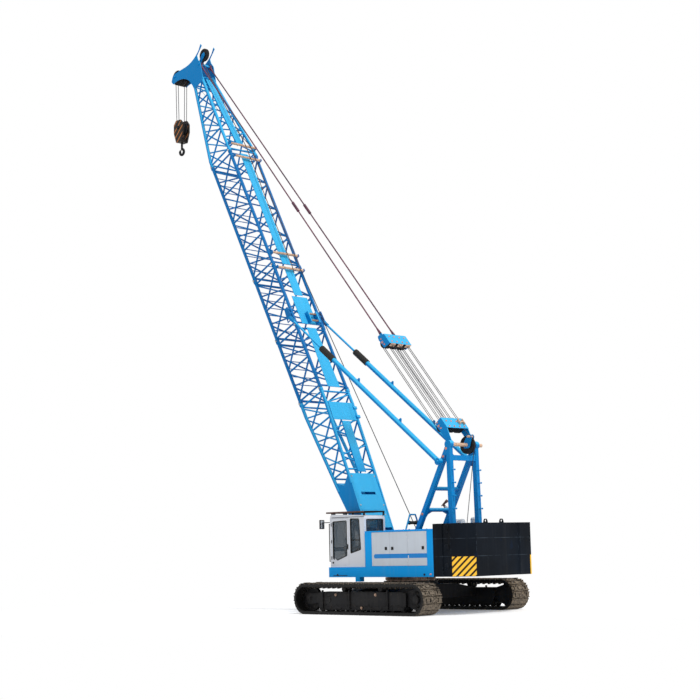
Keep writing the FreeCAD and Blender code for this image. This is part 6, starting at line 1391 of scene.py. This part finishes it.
class CRANE_OT_boom(bpy.types.Operator):
    """Add joint pins, bolts, brackets and axle caps to the boom"""
    bl_idname = "crane.boom"
    bl_label = "Boom trim"

    def execute(self, context):
        sleeves, joints, bright, blue, dark = (bmesh.new() for _ in range(5))
        ahead = Vector((1, 0, 0))
        for along in (FOOT_END, FOOT_END + 2 * PANEL, FOOT_END + 4 * PANEL, HEAD_BASE):
            for side in (-1, 1):
                for back in (-1, 1):
                    spot = Vector((along, side * CHORD_SIDE, back * CHORD_BACK))
                    cross_bar(joints, spot, 0.085 * ahead, 0.060, 20)
                    cross_bar(bright, spot, 0.082 * LEFT, 0.020, 14)
                    cross_bar(bright, spot + side * 0.080 * LEFT, 0.008 * LEFT, 0.030, 14)
        # rope keeper box beside the wide rear plate, with its two rollers
        deep = CHORD_BACK + 0.045
        for low, high in ((-0.36, -0.30), (0.02, 0.06)):
            block(blue, (FOOT_END + 2.05 * PANEL, low, deep), (FOOT_END + 2.40 * PANEL, high, deep + 0.16),
                  boom, 0.01)
        for share in (2.12, 2.33):
            cross_bar(dark, Vector((FOOT_END + share * PANEL, -0.145, deep + 0.11)), 0.195 * LEFT, 0.034, 18)
        # foot pins: flush on the left, because the cab stands beside it, and kept by a plate on the right
        foot = pin("boom_luff")
        rod(bright, foot + 0.650 * LEFT, foot + 0.662 * LEFT, 0.062, 28)
        rod(bright, foot - 0.660 * LEFT, foot - 0.682 * LEFT, 0.062, 28)
        block(bright, foot + Vector((-0.10, -0.672, 0.045)), foot + Vector((0.10, -0.660, 0.080)), edge=0.003)
        for along in (-0.08, 0.08):
            bolt(bright, foot + Vector((along, -0.672, 0.062)), -LEFT, 0.022)
        # head: axle caps with their bolts
        for along, back, radius in ((HEAD_AXLE_ALONG, HEAD_AXLE_BACK, 0.060), (18.78, 0.33, 0.048)):
            for sign in (1, -1):
                spot, out = Vector((along, sign * 0.285, back)), sign * LEFT
                rod(bright, boom @ spot, boom @ (spot + 0.014 * out), radius, 24)
                bolt_circle(bright, spot + 0.014 * out, 0.7 * radius, 6, out, 0.016, washer=False, place=boom)
        # narrow rear plates of the foot, above its box, and of the head, up to its cheeks
        for start_at, end_at, low, high, half in (
                (2.40, 4.14, foot_depth(2.40) + 0.033, foot_depth(4.14) + 0.033, 0.175),
                (15.02, 18.20, 0.530, 0.262, 0.150)):
            rise = math.atan2(high - low, end_at - start_at)
            place = boom @ Matrix.Translation((start_at, 0, low)) @ Matrix.Rotation(-rise, 4, "Y")
            long = (end_at - start_at) / math.cos(rise)
            block(blue, (0, -half, 0), (long, half, 0.012), place, 0.002)
            for across in (-half + 0.006, half - 0.006):
                block(blue, (0, across - 0.005, -0.03), (long, across + 0.005, 0.006), place)
        # bolts of the foot's sheet, and a seam of weld across it under its slot
        square = boom.to_3x3() @ Vector((-0.075, 0, 1))
        for along, wide in ((2.26, 0.5), (1.30, 0.5), (0.98, 0.44)):
            for across in (wide, -wide):
                bolt(bright, boom @ Vector((along, across, foot_depth(along) + 0.016)), square, 0.030)
        seam = foot_depth(1.16) + 0.016
        block(blue, (1.155, -0.56, seam - 0.004), (1.167, 0.56, seam + 0.004), boom, 0.002)
        # clamps at the right edge of the wide plate
        for along in (4.30, 4.62):
            block(blue, (along - 0.05, -0.66, 0.44), (along + 0.05, -0.50, 0.56), boom, 0.012)
        # bare steel sleeves of the rope guides
        for along in GUIDES:
            cross_bar(sleeves, Vector((along, 0, GUIDE_BACK)), 0.55 * LEFT, 0.0395, 24)
        for name, bm, slot, material in (("guide_sleeves", sleeves, "machined_steel", "sleeve"),
                                         ("chord_joints", joints, "boom_blue", "boom"),
                                         ("boom_pins", bright, "machined_steel", "zinc"),
                                         ("rope_keeper", blue, "boom_blue", "boom"),
                                         ("keeper_rollers", dark, "machined_steel", "steel")):
            finish_piece(name, bm, "boom", material)
        return {"FINISHED"}


class CRANE_OT_backstops(bpy.types.Operator):
    """Add the black buffers and the lifting lugs of the backstops"""
    bl_idname = "crane.backstops"
    bl_label = "Backstop trim"

    def execute(self, context):
        # ribbed rubber sleeve turned about the tube: 16 ribs 40 mm apart
        sleeve, pitch = [(5.385, 0.070), (5.385, 0.098)], 0.040
        for rib in range(16):
            low = 5.40 + rib * pitch
            sleeve += [(low, 0.103), (low + 0.028, 0.103), (low + 0.032, 0.0985), (low + pitch, 0.0985)]
        sleeve += [(6.052, 0.098), (6.052, 0.045)]
        lug = [(-0.075, 0.068), (0.065, 0.068), (0.030, 0.165), (-0.015, 0.165)]
        cap = [(-0.055, CENTRE), (-0.055, 0.050), (0.07, 0.050), (0.085, 0.040), (0.085, CENTRE)]
        buffers, lugs = bmesh.new(), bmesh.new()
        for sign in (1, -1):
            side = sign * 0.745 * LEFT
            turned(buffers, sleeve, side, 32, stop, Vector((1, 0, 0)))
            for along in (1.95, 4.10):
                plate(lugs, lug, 0.020, stop @ Matrix.Translation(side + Vector((along, -0.010, 0))), 0.012)
            turned(lugs, [(sign * out, radius) for out, radius in cap], pin("backstop_swing") + side, 24)
        finish_piece("backstop_buffers", buffers, "backstop_tubes", "rubber")
        finish_piece("backstop_lugs", lugs, "backstop_tubes", "boom")
        return {"FINISHED"}


class CRANE_OT_hook(bpy.types.Operator):
    """Add the axle caps and bolts of the hook block and the hook's latch"""
    bl_idname = "crane.hook"
    bl_label = "Hook block trim"

    def execute(self, context):
        axle, wide = pin("hook_sheaves_spin"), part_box("hook_block")[1].y
        bm = bmesh.new()
        for sign in (1, -1):
            out = sign * LEFT
            spot = axle + out * (wide - 0.004)
            rod(bm, spot, spot + out * 0.012, 0.06, 24)
            bolt_circle(bm, spot + out * 0.010, 0.04, 4, out, 0.016, turned_by=0.5)
            for x, z in ((-0.12, -0.24), (0.12, -0.24), (-0.12, 0.16), (0.12, 0.16)):
                bolt(bm, axle + out * (wide - 0.03) + Vector((x, 0, z)), out, 0.03)
        finish_piece("hook_block_bolts", bm, "hook_block", "sheave")
        # the swivel's nut and the latch over the hook's mouth
        low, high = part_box("hook")
        x = pin("hook_swivel").x
        bm = bmesh.new()
        rod(bm, (x, 0, high.z - 0.06), (x, 0, high.z - 0.02), 0.052, 6)
        block(bm, (x - 0.012, -0.016, low.z + 0.20), (x + 0.105, 0.016, low.z + 0.208), edge=0.003)
        finish_piece("hook_latch", bm, "hook", "zinc")
        return {"FINISHED"}


# ------------------------------------------------------------------------ engine and exhaust

class CRANE_OT_engine(bpy.types.Operator):
    """Add the exhaust's straps and tip, and the machinery's fittings inside both houses"""
    bl_idname = "crane.engine"
    bl_label = "Engine and exhaust"

    def execute(self, context):
        straps, tip, parts, tank = (bmesh.new() for _ in range(4))
        y, shell = -1.01, 2.576
        for x in (-1.17, -0.83):
            rods(straps, ((x - 0.018, y, shell), (x + 0.018, y, shell), 0.109, 36))
            bolt(straps, at(x, y + 0.112, shell), LEFT, 0.02, washer=False)
        rods(straps, ((-0.80, y, 2.93), (-0.80, y, 2.985), 0.044, 24),
             ((-0.80, y, 2.96), (-0.58, y + 0.02, 3.06), 0.038, 24))
        rods(tip, ((-0.60, y + 0.02, 3.03), (-0.50, y + 0.02, 3.14), 0.039, 24),
             ((-0.43, y + 0.02, 3.09), (-0.66, y + 0.02, 3.24), 0.012, 20, 0.050))
        finish_piece("exhaust_straps", straps, "upper", "silver")
        finish_piece("exhaust_tip", tip, "upper", "rusty")

        # engine: heads and pipes of its six cylinders, manifold, pulleys, filters and bolts
        low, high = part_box("engine")
        middle, pipe = (low.y + high.y) / 2, low.y - 0.04
        for step in range(6):
            x = low.x + 0.16 + step * 0.195
            block(parts, (x - 0.08, middle - 0.17, high.z - 0.003), (x + 0.08, middle + 0.17, high.z + 0.07),
                  edge=0.012)
            rod(parts, (x, pipe, high.z - 0.16), (x, pipe, high.z - 0.40), 0.018)
        rod(parts, *((x, pipe + 0.005, high.z - 0.20) for x in (low.x + 0.05, high.x - 0.05)), 0.034, 16)
        for z, radius in ((0.30, 0.10), (0.58, 0.07)):
            rod(parts, (high.x - 0.003, middle, low.z + z), (high.x + 0.05, middle, low.z + z), radius, 28)
        for x in (0.30, 0.50):
            rod(parts, low + Vector((x, -0.045, 0.12)), low + Vector((x, -0.045, 0.32)), 0.042, 20)
        for x in (0.1, 0.6, 1.1):
            for z in (0.08, 0.45):
                bolt(parts, low + Vector((x, 0, z)), -LEFT, 0.03)
        finish_piece("engine_fittings", parts, "upper", "engine")

        # hydraulic tank, valve block and pipes behind the left doors
        foot = DECK_TOP + 0.002
        blocks(tank, ((-1.98, 0.80, foot), (-1.00, 1.42, 2.16), 0.02),
               ((-0.86, 0.84, foot), (-0.10, 1.30, 1.78), 0.01))
        rods(tank, ((-1.30, 1.10, 2.155), (-1.30, 1.10, 2.22), 0.055, 24),
             *(((x, 1.415, 1.55), (x, 1.455, 1.55), 0.03, 16) for x in (-1.8, -1.5, -1.2)),
             *(((x, 1.44, 1.56), (x, 1.44, 1.37), 0.018) for x in (-1.8, -1.5, -1.2)))
        for step in range(6):
            x = -0.80 + step * 0.125
            rods(tank, ((x, 1.295, 1.62), (x, 1.35, 1.62), 0.026, 16),
                 ((x, 1.335, 1.63), (x, 1.335, 1.40), 0.014))
        finish_piece("hydraulic_tank", tank, "upper", "engine")
        return {"FINISHED"}


# ------------------------------------------------------------------------ panel and running

OPERATORS = (CRANE_OT_stage, CRANE_OT_finish, CRANE_OT_tracks, CRANE_OT_chassis, CRANE_OT_drum_ropes,
             CRANE_OT_falls, CRANE_OT_hoist_ropes, CRANE_OT_doors, CRANE_OT_houses, CRANE_OT_winches,
             CRANE_OT_cab, CRANE_OT_weight, CRANE_OT_a_frame, CRANE_OT_boom, CRANE_OT_backstops,
             CRANE_OT_hook, CRANE_OT_engine)
GROUPS = {"crane_colours": CraneColours, "crane_sizes": CraneSizes, "crane_stage": CraneStage}


class CRANE_PT_panel(bpy.types.Panel):
    """The crane's sizes, colours and pieces"""
    bl_label = "Crane"
    bl_idname = "CRANE_PT_panel"
    bl_space_type = "VIEW_3D"
    bl_region_type = "UI"
    bl_category = "Crane"

    def draw(self, context):
        for group in GROUPS:
            values = getattr(context.scene, group)
            box = self.layout.box()
            for name in values.__annotations__:
                box.prop(values, name)
        for operator in OPERATORS:
            self.layout.operator(operator.bl_idname)


def register():
    for group in GROUPS.values():
        bpy.utils.register_class(group)
    for name, group in GROUPS.items():
        setattr(bpy.types.Scene, name, PointerProperty(type=group))
    for operator in OPERATORS:
        bpy.utils.register_class(operator)
    bpy.utils.register_class(CRANE_PT_panel)


def unregister():
    bpy.utils.unregister_class(CRANE_PT_panel)
    for operator in reversed(OPERATORS):
        bpy.utils.unregister_class(operator)
    for name, group in GROUPS.items():
        delattr(bpy.types.Scene, name)
        bpy.utils.unregister_class(group)


def main():
    """Build everything in order."""
    register()
    for operator in OPERATORS:
        group, name = operator.bl_idname.split(".")
        getattr(getattr(bpy.ops, group), name)()
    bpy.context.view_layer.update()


if __name__ == "__main__":
    main()
